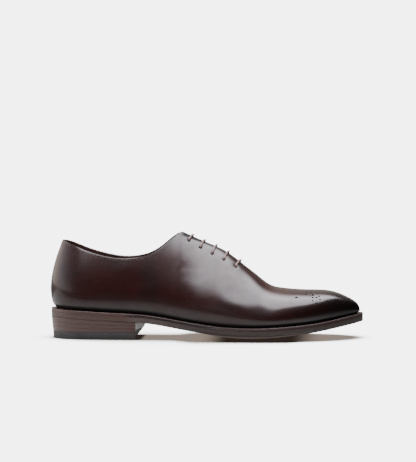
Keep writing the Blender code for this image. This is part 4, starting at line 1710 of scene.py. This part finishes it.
@dataclass
class Tongue(Assembly):
    """The tongue: a padded sheet under the facings."""

    columns: int = 60
    rows: int = 32
    rim: float = 0.0006
    rounding: float = 0.035
    straight: float = 0.35

    def _depth(self, x: float) -> float:
        """Depth of the outer face under the last's surface: room for the lace, then up to the vamp.

        Args:
            x: Distance from the heel's back.

        Returns:
            The depth.
        """
        s = self.last.sizes
        laced = s.wall + s.lace_diameter + 2 * s.lace_clearance
        left = (s.tongue_front - x) / (s.tongue_front - s.first_eyelet - s.eyelet_diameter)
        return s.wall + s.clearance + (laced - s.wall - s.clearance) * min(max(left, 0), 1)

    def _point(self, share: float, spread: float) -> Array:
        """Point of the outer face.

        Args:
            share: 0 at the tongue's top to 1 at its front.
            spread: -1 at the lateral edge to 1 at the medial edge.

        Returns:
            The point.
        """
        last, s = self.last, self.last.sizes
        side = Side.MEDIAL if spread > 0 else Side.LATERAL
        back, front = last.station_at(s.tongue_top), last.station_at(s.tongue_front)
        round_off = self.rounding * (max(abs(spread) - self.straight, 0) / (1 - self.straight)) ** 2
        station = back + (front - back) * (share + round_off * (1 - share))
        x = last.controls(station, side)[-1][0]
        return last.over((station, 1 - abs(spread) * s.tongue_spread_share), side, -self._depth(x))

    def build(self) -> list[Piece]:
        """Make the tongue.

        Returns:
            The piece.
        """
        shares, spreads = np.linspace(0, 1, self.columns + 1), np.linspace(-1, 1, self.rows + 1)
        points = np.array([[self._point(share, spread) for spread in spreads] for share in shares])
        tongue = Bench.sheet("tongue_sheet", points)
        Bench.weld(tongue)
        if Bench.normals(tongue)[:, 2].sum() < 0:
            tongue.data.flip_normals()
        Bench.modify(tongue, "SOLIDIFY", thickness=self.last.sizes.tongue_thickness, offset=-1)
        Bench.bevel(tongue, self.rim, degrees=50)
        Bench.smooth(tongue, degrees=50)
        finish = PlainLeather(
            "tongue_calf", roughness=0.5, relief=0.0001, light=(0.030, 0.010, 0.009), dark=(0.018, 0.006, 0.006)
        )
        return [self.dress(tongue, "tongue_leather", (finish.material(),), ("tongue",))]


@dataclass
class Insole(Assembly):
    """The insole with its core, cupped a little along its edge."""

    stations: int = 110
    across: int = 16
    cup: float = 0.0006
    plate_room: float = 0.0006
    core_room: float = 0.0002

    def _ring(self, station: float) -> list[Array]:
        """Closed section: the core's foot, the plate over it and its cupped top.

        Args:
            station: Place along the last.

        Returns:
            The points of the section.
        """
        last, s = self.last, self.last.sizes
        plate_inset = last.margin(station) + s.wall + 2 * s.clearance + self.plate_room
        core_inset = last.margin(station) + s.welt_underlap + s.clearance + self.core_room
        plate, far_plate = (last.inset_edge(station, side, plate_inset) for side in Side)
        core, far_core = (last.inset_edge(station, side, core_inset) for side in Side)
        ring = [(core, -s.welt_thickness), (core, s.clearance), (plate, s.clearance)]
        for step in np.linspace(0, 1, self.across + 1):
            rise = self.cup * abs(2 * step - 1) ** 3 - self.cup
            ring.append((plate + (far_plate - plate) * step, s.clearance + s.insole_thickness + rise))
        ring += [(far_plate, s.clearance), (far_core, s.clearance), (far_core, -s.welt_thickness), ring[0]]
        return [last.placed((x, y, last.seat(x, y) + height)) for (x, y), height in ring]

    def build(self) -> list[Piece]:
        """Make the insole.

        Returns:
            The piece.
        """
        rings = [self._ring(station) for station in np.linspace(0, 1, self.stations + 1)]
        insole = Bench.sheet("insole_board", np.array(rings))
        Bench.weld(insole, close=True)
        Bench.bevel(insole, width=0.0005, degrees=60)
        Bench.smooth(insole, degrees=40)
        finish = PlainLeather(
            "insole_calf", roughness=0.55, relief=0.0001, light=(0.26, 0.135, 0.068), dark=(0.19, 0.095, 0.046)
        )
        return [self.dress(insole, "insole_leather", (finish.material(),), ("insole",))]


@dataclass
class Welting(Assembly):
    """The welt round the forepart and the rand round the heel, with the welt's stitches."""

    rounding: float = 0.0004
    groove: float = 0.0005
    groove_places: Sequence[float] = (0.26, 0.29, 0.45, 0.62)
    groove_shares: Sequence[float] = (0.0, 1.0, 1.0, 0.2)
    bead: float = 0.0010
    forepart_stations: int = 110
    heel_stations: int = 60
    breast_gap: float = 0.0008
    stitch_start: float = 0.006
    stitch_inset: float = 0.0016
    stitch_stations: int = 160

    def breast(self, side: Side, cut: float = 0.0) -> float:
        """Station where the heel's breast meets one side of the sole, less a cut on the inner side.

        Args:
            side: Which side.
            cut: How much the inner side is cut back.

        Returns:
            The station.
        """
        s = self.last.sizes
        reach = s.breast_inner_reach - cut if side is Side.MEDIAL else 0
        return self.last.station_of((s.breast_distance + reach) / s.sole_length)

    def _ring(self, station: float, side: Side) -> tuple[list[Array], list[float]]:
        """Section of the strip, with rounded outer corners.

        Args:
            station: Place along the sole.
            side: Which side.

        Returns:
            The section's points and their levels up the strip.
        """
        last, s = self.last, self.last.sizes
        r, low, bead = self.rounding, -s.welt_thickness, -self.bead
        full = last.margin(station) + s.welt_underlap
        groove = self.groove * float(np.interp(last.share_of(station), self.groove_places, self.groove_shares))
        profile = [(full, low), (r * 0.4, low), (0.0, low + r * 0.4), (0.0, bead - r * 1.6)]
        profile += [(groove, bead - r * 0.8), (groove, bead - r * 0.2), (0.0, bead + r * 0.5)]
        profile += [(r - r * math.cos(turn), r * math.sin(turn) - r) for turn in np.linspace(0, math.pi / 2, 4)]
        profile += [(last.margin(station) * 0.75, 0.0), (full, 0.0), (full, low)]
        edges = [(*last.inset_edge(station, side, inset), height) for inset, height in profile]
        points = [last.placed((x, y, last.seat(x, y) + height)) for x, y, height in edges]
        return points, [1 + height / s.welt_thickness for _, height in profile]

    def _strip(self, name: str, starts: Callable[[Side], Span], count: int) -> Piece:
        """A strip that runs up one side and back down the other.

        Args:
            name: Name of the piece.
            starts: First and last station of each side.
            count: Stations a side.

        Returns:
            The strip.
        """
        rings = []
        for side in Side:
            made = [self._ring(station, side) for station in np.linspace(*starts(side), count + 1)]
            rings += made if side is Side.LATERAL else made[-2::-1]
        points, levels = (np.array(column) for column in zip(*rings))
        return Bench.strip(name, points, levels, 0.00001)

    def _seam(self, side: Side) -> tuple[Array, Array]:
        """Path of the welt's stitches along one side, with its upright normals.

        Args:
            side: Which side.

        Returns:
            Points and normals.
        """
        last, points = self.last, []
        for station in np.linspace(self.breast(side) + self.stitch_start, 1, self.stitch_stations):
            x, y = last.inset_edge(station, side, self.stitch_inset)
            points.append(last.placed((x, y, last.seat(x, y))))
        return np.array(points), np.tile((0.0, 0.0, 1.0), (len(points), 1))

    def build(self) -> list[Piece]:
        """Make both strips and the stitches.

        Returns:
            The pieces.
        """
        welt = self._strip(
            "forepart_welt", lambda side: (self.breast(side) + self.breast_gap, 1.0), self.forepart_stations
        )
        rand = self._strip("heel_seat_rand", lambda side: (self.breast(side), 0.0), self.heel_stations)
        edge = LayeredEdge(
            "welt_edge", roughness=0.42, relief=0.00006, coat=0.2, layers=1.0, joint_share=0.0, front_share=0.55,
            waist_groove_shade=0.9, light=(0.076, 0.038, 0.031), dark=(0.034, 0.016, 0.013),
        ).material()
        self.dress(welt, "edge_leather", (edge,), ("welt",))
        self.dress(rand, "edge_leather", (edge,), ("heel_rand",))
        row = StitchRow(length=0.0023, gap=0.0006, thickness=0.0006, sink=0.0001)
        seam = row.lay("welt_stitches", [self._seam(side) for side in Side])
        thread = Thread(
            "welt_thread", roughness=0.55, relief=0.00005, light=(0.060, 0.028, 0.022), dark=(0.020, 0.009, 0.008)
        )
        self.dress(seam, "edge_leather", (thread.material(),))
        return [welt, rand, seam]


@dataclass
class Outsole(Assembly):
    """The leather outsole: edge and crowned underside."""

    stations: int = 150
    across: int = 28
    rounding: float = 0.0009
    joint: float = 0.00006
    middle: float = 0.55

    def _ring(self, station: float) -> tuple[list[Array], list[float]]:
        """Closed section at a station, from the lateral upper edge over the underside and back over the top.

        Args:
            station: Place along the sole.

        Returns:
            The points and their levels up the edge.
        """
        last, s = self.last, self.last.sizes
        lateral, medial = (last.sole_edge(station, side) for side in Side)
        width = float(np.linalg.norm(medial - lateral))
        small = min(self.rounding / max(width, 1e-6), 0.2)
        lift = self.rounding / s.outsole_thickness
        edge = [(0.0, 1.0), (0.0, self.middle), (0.0, lift), (small * 0.3, lift * 0.3)]
        ring = list(edge)
        for step in (1 - np.cos(np.linspace(0, math.pi, self.across + 1))) / 2:
            ring.append((small + (1 - 2 * small) * step, 0.0))
        ring += [(1 - step, level) for step, level in reversed(edge)] + [(0.5, 1.0), (0.0, 1.0)]
        points = []
        for step, level in ring:
            x, y = lateral + (medial - lateral) * step
            low, top = last.tread(x, y), last.seat(x, y) - s.welt_thickness - self.joint
            points.append(last.placed((x, y, low + (top - low) * level)))
        return points, [level for _, level in ring]

    def build(self) -> list[Piece]:
        """Make the outsole.

        Returns:
            The piece.
        """
        rings = [self._ring(station) for station in np.linspace(0, 1, self.stations + 1)]
        points, levels = (np.array(column) for column in zip(*rings))
        sole = Bench.strip("leather_outsole", points, levels, 0.00002)
        edge = LayeredEdge(
            "outsole_edge", roughness=0.46, relief=0.00005, coat=0.06, layers=2.0, joint_share=0.22, front_share=0.42,
            light=(0.108, 0.078, 0.067), dark=(0.055, 0.038, 0.033),
        )
        under = PlainLeather(
            "outsole_leather", roughness=0.5, relief=0.0001, light=(0.075, 0.036, 0.022), dark=(0.045, 0.021, 0.013)
        )
        self.dress(sole, "edge_leather", (edge.material(), under.material()), ("outsole",))
        down = [int(polygon.normal.z < -0.75) for polygon in sole.data.polygons]
        sole.data.polygons.foreach_set("material_index", down)
        return [sole]


@dataclass
class Heel(Assembly):
    """The stacked heel: leather lifts on a rubber top piece."""

    steps: int = 44
    breast_steps: int = 16
    edge: float = 0.00012
    joint: float = 0.00006
    slope_share: float = 0.2

    def _outline(self, inset: float, cut: float) -> Array:
        """X and Y of the heel's outline, round the back and along the hollow breast.

        Args:
            inset: Distance inside the sole's outline.
            cut: How far the breast's inner end is cut back.

        Returns:
            The points, measured from the heel's back.
        """
        last, welting = self.last, Welting(self.last)
        lateral, medial = welting.breast(Side.LATERAL), welting.breast(Side.MEDIAL, cut)
        points = [last.inset_edge(at, Side.LATERAL, inset) for at in np.linspace(lateral, 0, self.steps)]
        points += [last.inset_edge(at, Side.MEDIAL, inset) for at in np.linspace(0, medial, self.steps)[1:]]
        start, end = points[-1], points[0]
        for step in np.linspace(0, 1, self.breast_steps)[1:-1]:
            hollow = last.sizes.breast_hollow * math.sin(math.pi * step)
            points.append(start + (end - start) * step - (hollow, 0))
        return np.array(points)

    def _plane(self, x: float, level: float) -> float:
        """Height of a joint: level 0 is the top piece's upper face, 1 the outsole's seat.

        Args:
            x: Distance along the heel.
            level: Which joint.

        Returns:
            Height over the floor.
        """
        s, share = self.last.sizes, self.slope_share
        slope = (s.heel_height - s.ball_edge_lift) * (self.last.ground["heel"](share) - 1) / (share * s.sole_length)
        under_seat = s.heel_height - s.clearance + slope * x
        return s.top_piece_thickness + (under_seat - s.top_piece_thickness) * level

    def _slab(self, name: str, heights: Sequence[Callable[[float], float]], tapers: Span, levels: Span) -> Piece:
        """One layer: a disc laid on its lower face and extruded up to its upper face.

        Args:
            name: Name of the piece.
            heights: Height of the lower and of the upper face.
            tapers: Share of the heel's taper at both faces.
            levels: Level in the stack at both faces.

        Returns:
            The layer, whose map gives the length round it and the level up the stack.
        """
        last, s = self.last, self.last.sizes
        faces = []
        for taper, height in zip(tapers, heights):
            outline = self._outline(s.heel_taper * taper, s.breast_inner_cut * taper**3)
            faces.append(np.array([last.placed((x, y, height(x))) for x, y in outline]))
        low, high = faces
        Bench.pick()
        bpy.ops.mesh.primitive_circle_add(vertices=len(low), radius=1, fill_type="NGON")
        slab = Bench.named(name)
        start = Bench.coordinates(slab)
        turns = np.arctan2(start[:, 1], start[:, 0]) % (2 * math.pi) / (2 * math.pi)
        Bench.move(slab, low[np.rint(turns * len(low)).astype(int) % len(low)])
        with Bench.editing(slab):
            bpy.ops.mesh.extrude_region_move(TRANSFORM_OT_translate={"value": (0, 0, 1)})
        points = Bench.coordinates(slab)
        raised = points[:, 2] > 0.5
        index = ((points[:, None, :2] - low[None, :, :2]) ** 2).sum(axis=2).argmin(axis=1)
        Bench.move(slab, np.where(raised[:, None], high[index], low[index]))
        Bench.weld(slab, distance=0.000001)
        self._map(slab, index, raised, low, levels)
        Bench.bevel(slab, self.edge, degrees=60)
        Bench.smooth(slab, degrees=40)
        return slab

    @staticmethod
    def _map(slab: Piece, index: Array, raised: Array, ring: Array, levels: Span) -> None:
        """Write the slab's own map.

        Args:
            slab: The layer.
            index: Place of each point on the outline.
            raised: Whether each point is on the upper face.
            ring: The outline.
            levels: Level at both faces.
        """
        lengths, mesh = Bench.lengths(np.r_[ring, ring[:1]]), slab.data
        layer = mesh.uv_layers[0] if mesh.uv_layers else mesh.uv_layers.new()
        layer.name = "Laid"
        for polygon in mesh.polygons:
            wraps = len(polygon.vertices) == 4 and {0, len(ring) - 1} <= {int(index[v]) for v in polygon.vertices}
            for corner in polygon.loop_indices:
                vertex = mesh.loops[corner].vertex_index
                at = int(index[vertex]) or (len(ring) if wraps else 0)
                layer.data[corner].uv = (lengths[at], levels[int(raised[vertex])])

    def build(self) -> list[Piece]:
        """Make all layers.

        Returns:
            The pieces, from the floor up.
        """
        s = self.last.sizes
        foot = 1 - s.top_piece_thickness / s.heel_height
        rubber = Rubber("heel_rubber_dark", roughness=0.62, relief=0.00005).material()
        leather = LayeredEdge(
            "stacked_leather", roughness=0.44, relief=0.00008, coat=0.15, layers=7.0, joint_share=0.20
        ).material()
        faces = (lambda x: 0.0, lambda x: s.top_piece_thickness)
        top_piece = self._slab("rubber_top_piece", faces, (1.0, foot), (0.0, 1.0))
        pieces = [self.dress(top_piece, "heel_rubber", (rubber,), ("heel_top_piece",))]
        for lift in range(s.leather_lifts):
            start, end = lift / s.leather_lifts, (lift + 1) / s.leather_lifts
            rise = s.clearance - self.joint if lift == s.leather_lifts - 1 else 0.0
            faces = (lambda x: self._plane(x, start) + self.joint, lambda x: self._plane(x, end) + rise)
            slab = self._slab(f"leather_lift_{lift + 1}", faces, (foot * (1 - start), foot * (1 - end)), (start, end))
            pieces.append(self.dress(slab, "heel_leather", (leather,), (f"heel_lift_{lift + 1}",)))
        return pieces


@dataclass
class Laces(Assembly):
    """The lace: straight bars over the throat, through the eyelets, with hidden runs under the facings."""

    spacing: float = 0.0007
    swell: float = 1.1
    sides: int = 16
    lift: float = 0.00015
    end_reach: float = 0.012
    top_end_reach: float = 0.008

    def _inside(self) -> float:
        """Height of the lace's middle under the facings."""
        s = self.last.sizes
        return -(s.wall + s.lace_clearance + s.lace_diameter / 2)

    def _through(self, stop: LaceStop, going_in: bool) -> list[Array]:
        """Points through an eyelet.

        Args:
            stop: The eyelet.
            going_in: Whether the lace goes from outside to inside.

        Returns:
            The points in the lace's order.
        """
        s, place = self.last.sizes, self.last.eyelet(stop.row)
        heights = (s.lace_diameter * 0.35, -s.wall / 2, -s.wall - s.clearance)
        points = [self.last.over(place, stop.side, height) for height in heights]
        return points if going_in else points[::-1]

    def _crossing(self, stop: LaceStop) -> list[Array]:
        """Points over the throat, from one eyelet to the one across from it.

        Args:
            stop: The eyelet that the lace comes out of.

        Returns:
            The points in the lace's order.
        """
        last, s = self.last, self.last.sizes
        start, depth = last.eyelet(stop.row)
        over = last.station_at(last.controls(start, stop.side)[-1][0] + s.eyelet_setback)
        places = [(start + (over - start) * step, depth + (1 - depth) * step) for step in (0.12, 0.35, 0.6, 0.85)]
        near, far = (
            [last.over(place, side, s.lace_diameter / 2 + self.lift) for place in places]
            for side in (stop.side, stop.side.other)
        )
        return near + far[::-1]

    def _hidden(self, stop: LaceStop, following: LaceStop) -> list[Array]:
        """Points under the facing, from one row to another.

        Args:
            stop: Where the run starts.
            following: Where it ends.

        Returns:
            The points between them.
        """
        last, points = self.last, []
        (start, t), (end, end_t) = last.eyelet(stop.row), last.eyelet(following.row)
        for step in (0.12, 0.3, 0.5, 0.7, 0.88):
            bow = min(1.0, 3 * math.sin(math.pi * step) / 2) * last.sizes.run_offset * stop.run
            place = (start + (end - start) * step, t + (end_t - t) * step - bow)
            points.append(last.over(place, stop.side, self._inside()))
        return points

    def _end(self, stop: LaceStop) -> list[Array]:
        """Hidden end that stops beside the top eyelets.

        Args:
            stop: The eyelet that the end lies behind.

        Returns:
            The points from the eyelet on.
        """
        start, t = self.last.eyelet(stop.row)
        top = stop.row == len(self.last.sizes.eyelet_depths) - 1
        reach = self.top_end_reach if top else self.end_reach
        return [self.last.over((start - reach * step, t), stop.side, self._inside()) for step in (0.4, 1.0)]

    def _route(self) -> Array:
        """The lace's whole way, from one hidden end to the other.

        Returns:
            The points.
        """
        points = self._end(LACE_STOPS[0])[::-1]
        for count, (stop, following) in enumerate(zip(LACE_STOPS, LACE_STOPS[1:])):
            points += self._through(stop, count % 2 == 1)
            points += self._crossing(stop) if stop.run is None else self._hidden(stop, following)
        points += self._through(LACE_STOPS[-1], len(LACE_STOPS) % 2 == 0)
        return np.array(points + self._end(LACE_STOPS[-1]))

    @staticmethod
    def _rounded(route: Array) -> Array:
        """Dense smooth curve through a route.

        Args:
            route: Points to pass.

        Returns:
            The dense points.
        """
        ends, dense = np.concatenate([[2 * route[0] - route[1]], route, [2 * route[-1] - route[-2]]]), []
        for p0, p1, p2, p3 in zip(ends, ends[1:], ends[2:], ends[3:]):
            for t in np.linspace(0, 1, 10, endpoint=False):
                square, cube = 2 * p0 - 5 * p1 + 4 * p2 - p3, 3 * p1 - p0 - 3 * p2 + p3
                dense.append(0.5 * (2 * p1 + (p2 - p0) * t + square * t**2 + cube * t**3))
        return np.array([*dense, route[-1]])

    def build(self) -> list[Piece]:
        """Make the lace.

        Returns:
            The piece.
        """
        path = Bench.even(self._rounded(self._route()), self.spacing)
        lace = Bench.tube("waxed_lace", path, self.last.sizes.lace_diameter / 2 * self.swell, self.sides)
        finish = Cord("waxed_cord", roughness=0.42, relief=0.00016, coat=0.15, coat_roughness=0.3)
        return [self.dress(lace, "lace_cord", (finish.material(),), ("laces",))]


@dataclass
class Studio:
    """The pale studio: floor, world, lights and camera.

    A span gives where a mask starts and where it is full. In the world, X is the sideways part of the direction
    and the climb is the angle over the horizon: 0 in front, half pi overhead and pi behind the shoe.
    """

    backdrop: float = 5.6
    azimuth: float = 3.0
    elevation: float = 2.7
    distance: float = 2.5
    target: Point = (0.1140, 0.0, 0.1045)
    pixels_per_metre: float = 1020.0
    picture_width: int = 416
    floor_size: float = 60.0
    floor_sink: float = 0.0002
    # Painted shadow on the floor: ambient occlusion sets where shade is painted, crisper and darker under the ball
    # and beside the heel's breast.
    shade_reach: float = 0.17
    shade_lean: Point = (0.0, 0.80, 0.60)
    shade_edge: Span = (0.42, 0.86)
    ball_edge: Span = (0.71, 0.81)
    crisp_shade_back: Span = (0.070, 0.110)
    crisp_shade_front: Span = (0.210, 0.190)
    deep_shade_back: Span = (0.105, 0.135)
    deep_shade_front: Span = (0.228, 0.195)
    breast: Span = (0.053, 0.048)
    shade: Colour = (0.058, 0.047, 0.040)
    ball_shade: Colour = (0.006, 0.004, 0.0035)
    mirrored_shade: Colour = (0.30, 0.29, 0.28)
    # Painted light: the floor glows for every ray but the camera's, brightest in a pool round the shoe.
    floor_light: float = 1.15
    floor_pool: Span = (0.32, 0.09)
    pool_right: Span = (0.18, 0.42)
    pool_dim: float = 0.3
    pool_rest: float = 0.05
    box_light: float = 10.0
    box_front: Span = (0.63, 1.00)
    box_slant: float = 1.15
    box_back: Span = (1.95, 2.45)
    back_share: float = 0.008
    box_left: Span = (-0.41, -0.17)
    box_right: Span = (0.40, 0.54)
    horizon: Span = (-0.02, 0.02)
    back_light: float = 0.37
    behind: Span = (0.0, 0.9)
    behind_side: Span = (0.38, -0.15)
    heel_light: float = 1.9
    heel_side: Span = (-0.30, -1.00)
    room_light: float = 0.004
    side_light: float = 0.05
    side: Span = (-0.15, -0.60)
    tint_climb: Span = (2.0, 2.6)
    cool: Colour = (0.97, 0.94, 1.0)
    warm: Colour = (1.0, 0.86, 0.77)
    white: Colour = (1.0, 1.0, 1.0)

    def _floor(self) -> None:
        """A wide pale floor that glows instead of being lit, with the shoe's shadow painted into its colour from
        ambient occlusion, painted darker under the ball and beside the heel's breast, and a painted pool of light
        round the shoe for all but camera rays; clear from below.
        """
        Bench.pick()
        bpy.ops.mesh.primitive_plane_add(size=self.floor_size, location=(0, 0, -self.floor_sink))
        floor = bpy.context.object
        floor.name = "studio_floor"
        made = bpy.data.materials.new("pale_floor")
        made.use_nodes = True
        made.node_tree.nodes.clear()
        sheet = NodeSheet(made.node_tree)
        # Painted shadow: ambient occlusion from the floor, leaned away from the camera, sets where the shade is
        # painted.
        inputs = {"Distance": self.shade_reach, "Normal": self.shade_lean}
        shade = sheet.add("AmbientOcclusion", inputs, samples=16, only_local=False)
        eye = sheet.add("LightPath").outputs["Is Camera Ray"]
        x, y, _ = sheet.axes(sheet.place())
        crisp_shade_zone = sheet.times(sheet.ramp(x, *self.crisp_shade_back), sheet.ramp(x, *self.crisp_shade_front))
        limits = (sheet.ramp(crisp_shade_zone, 0.0, 1.0, limit) for limit in zip(self.shade_edge, self.ball_edge))
        level = sheet.ramp(shade.outputs["AO"], *limits)
        # Painted shade, darker under the ball and beside the heel's breast.
        deep_shade_zone = sheet.times(sheet.ramp(x, *self.deep_shade_back), sheet.ramp(x, *self.deep_shade_front))
        deep_shade_zone = sheet.most(deep_shade_zone, sheet.ramp(x, *self.breast))
        dark = sheet.mix(eye, self.mirrored_shade, sheet.mix(deep_shade_zone, self.shade, self.ball_shade))
        colour = sheet.mix(level, dark, self.white)
        # Painted pool of light: for rays other than the camera's the floor glows brightest near the shoe.
        span = (self.pool_rest * self.floor_light, self.floor_light)
        painted_pool = sheet.ramp(sheet.math("ABSOLUTE", y), *self.floor_pool, span)
        painted_pool = sheet.times(painted_pool, sheet.ramp(x, *self.pool_right, (1.0, self.pool_dim)))
        strength = sheet.plus(sheet.times(eye, self.backdrop), sheet.times(sheet.minus(1.0, eye), painted_pool))
        glow = sheet.add("Emission", {"Color": colour, "Strength": strength})
        below = sheet.add("NewGeometry").outputs["Backfacing"]
        clear = sheet.add("BsdfTransparent")
        shown = sheet.add("MixShader", {0: below, 1: glow.outputs[0], 2: clear.outputs[0]})
        sheet.add("OutputMaterial", {0: shown.outputs[0]})
        floor.data.materials.append(made)

    def _world(self) -> None:
        """Pale surroundings for the eye, and for the shoe one broad soft box overhead and a dark room in front."""
        world = bpy.context.scene.world = bpy.data.worlds.new("pale_room")
        world.use_nodes = True
        world.node_tree.nodes.clear()
        sheet = NodeSheet(world.node_tree)
        x, y, z = sheet.axes(sheet.add("TexCoord").outputs["Generated"])
        climb = sheet.math("ARCTAN2", z, sheet.times(y, -1.0))
        box = sheet.times(
            sheet.ramp(sheet.minus(climb, sheet.times(x, self.box_slant)), *self.box_front),
            sheet.ramp(climb, *self.box_back, (1.0, self.back_share)),
            sheet.ramp(x, *self.box_left),
            sheet.ramp(x, *self.box_right, (1.0, 0.0)),
            sheet.ramp(z, *self.horizon),
            self.box_light,
        )
        behind = sheet.times(sheet.ramp(y, *self.behind), sheet.ramp(x, *self.behind_side), self.back_light)
        room = sheet.plus(behind, sheet.times(sheet.ramp(x, *self.heel_side), self.heel_light))
        side = sheet.ramp(x, *self.side, (self.room_light, self.room_light + self.side_light))
        room = sheet.plus(sheet.plus(room, side), box)
        eye = sheet.add("LightPath").outputs["Is Camera Ray"]
        strength = sheet.plus(sheet.times(eye, self.backdrop), sheet.times(sheet.minus(1.0, eye), room))
        tint = sheet.mix(sheet.ramp(climb, *self.tint_climb), self.cool, self.warm)
        glow = sheet.add("Background", {"Color": sheet.mix(eye, tint, self.white), "Strength": strength})
        sheet.add("OutputWorld", {0: glow.outputs[0]})

    def _camera(self) -> None:
        """The camera at the photograph's angle."""
        made = bpy.data.cameras.new("photo_camera")
        made.sensor_fit = "HORIZONTAL"
        made.sensor_width = 36
        made.lens = made.sensor_width * self.distance / (self.picture_width / self.pixels_per_metre)
        made.clip_end = 100
        turn, rise = math.radians(self.azimuth), math.radians(self.elevation)
        back = Vector((math.sin(turn) * math.cos(rise), -math.cos(turn) * math.cos(rise), math.sin(rise)))
        camera = bpy.data.objects.new("photo_camera", made)
        camera.location = Vector(self.target) + back * self.distance
        camera.rotation_euler = back.to_track_quat("Z", "Y").to_euler()
        bpy.context.scene.collection.objects.link(camera)
        bpy.context.scene.camera = camera

    def build(self) -> None:
        """Set up the camera, the floor and the world."""
        self._camera()
        self._floor()
        self._world()


def main() -> None:
    """Build every part of the shoe, then the studio."""
    logging.basicConfig(level=logging.INFO, format="%(message)s", stream=sys.stdout)
    last = Last(ShoeSizes())
    parts = (Upper(last), Tongue(last), Insole(last), Welting(last), Outsole(last), Heel(last), Laces(last))
    for part in parts:
        for piece in part.build():
            LOG.info("%s: %d faces", piece.name, len(piece.data.polygons))
    Studio().build()


if __name__ == "__main__":
    main()
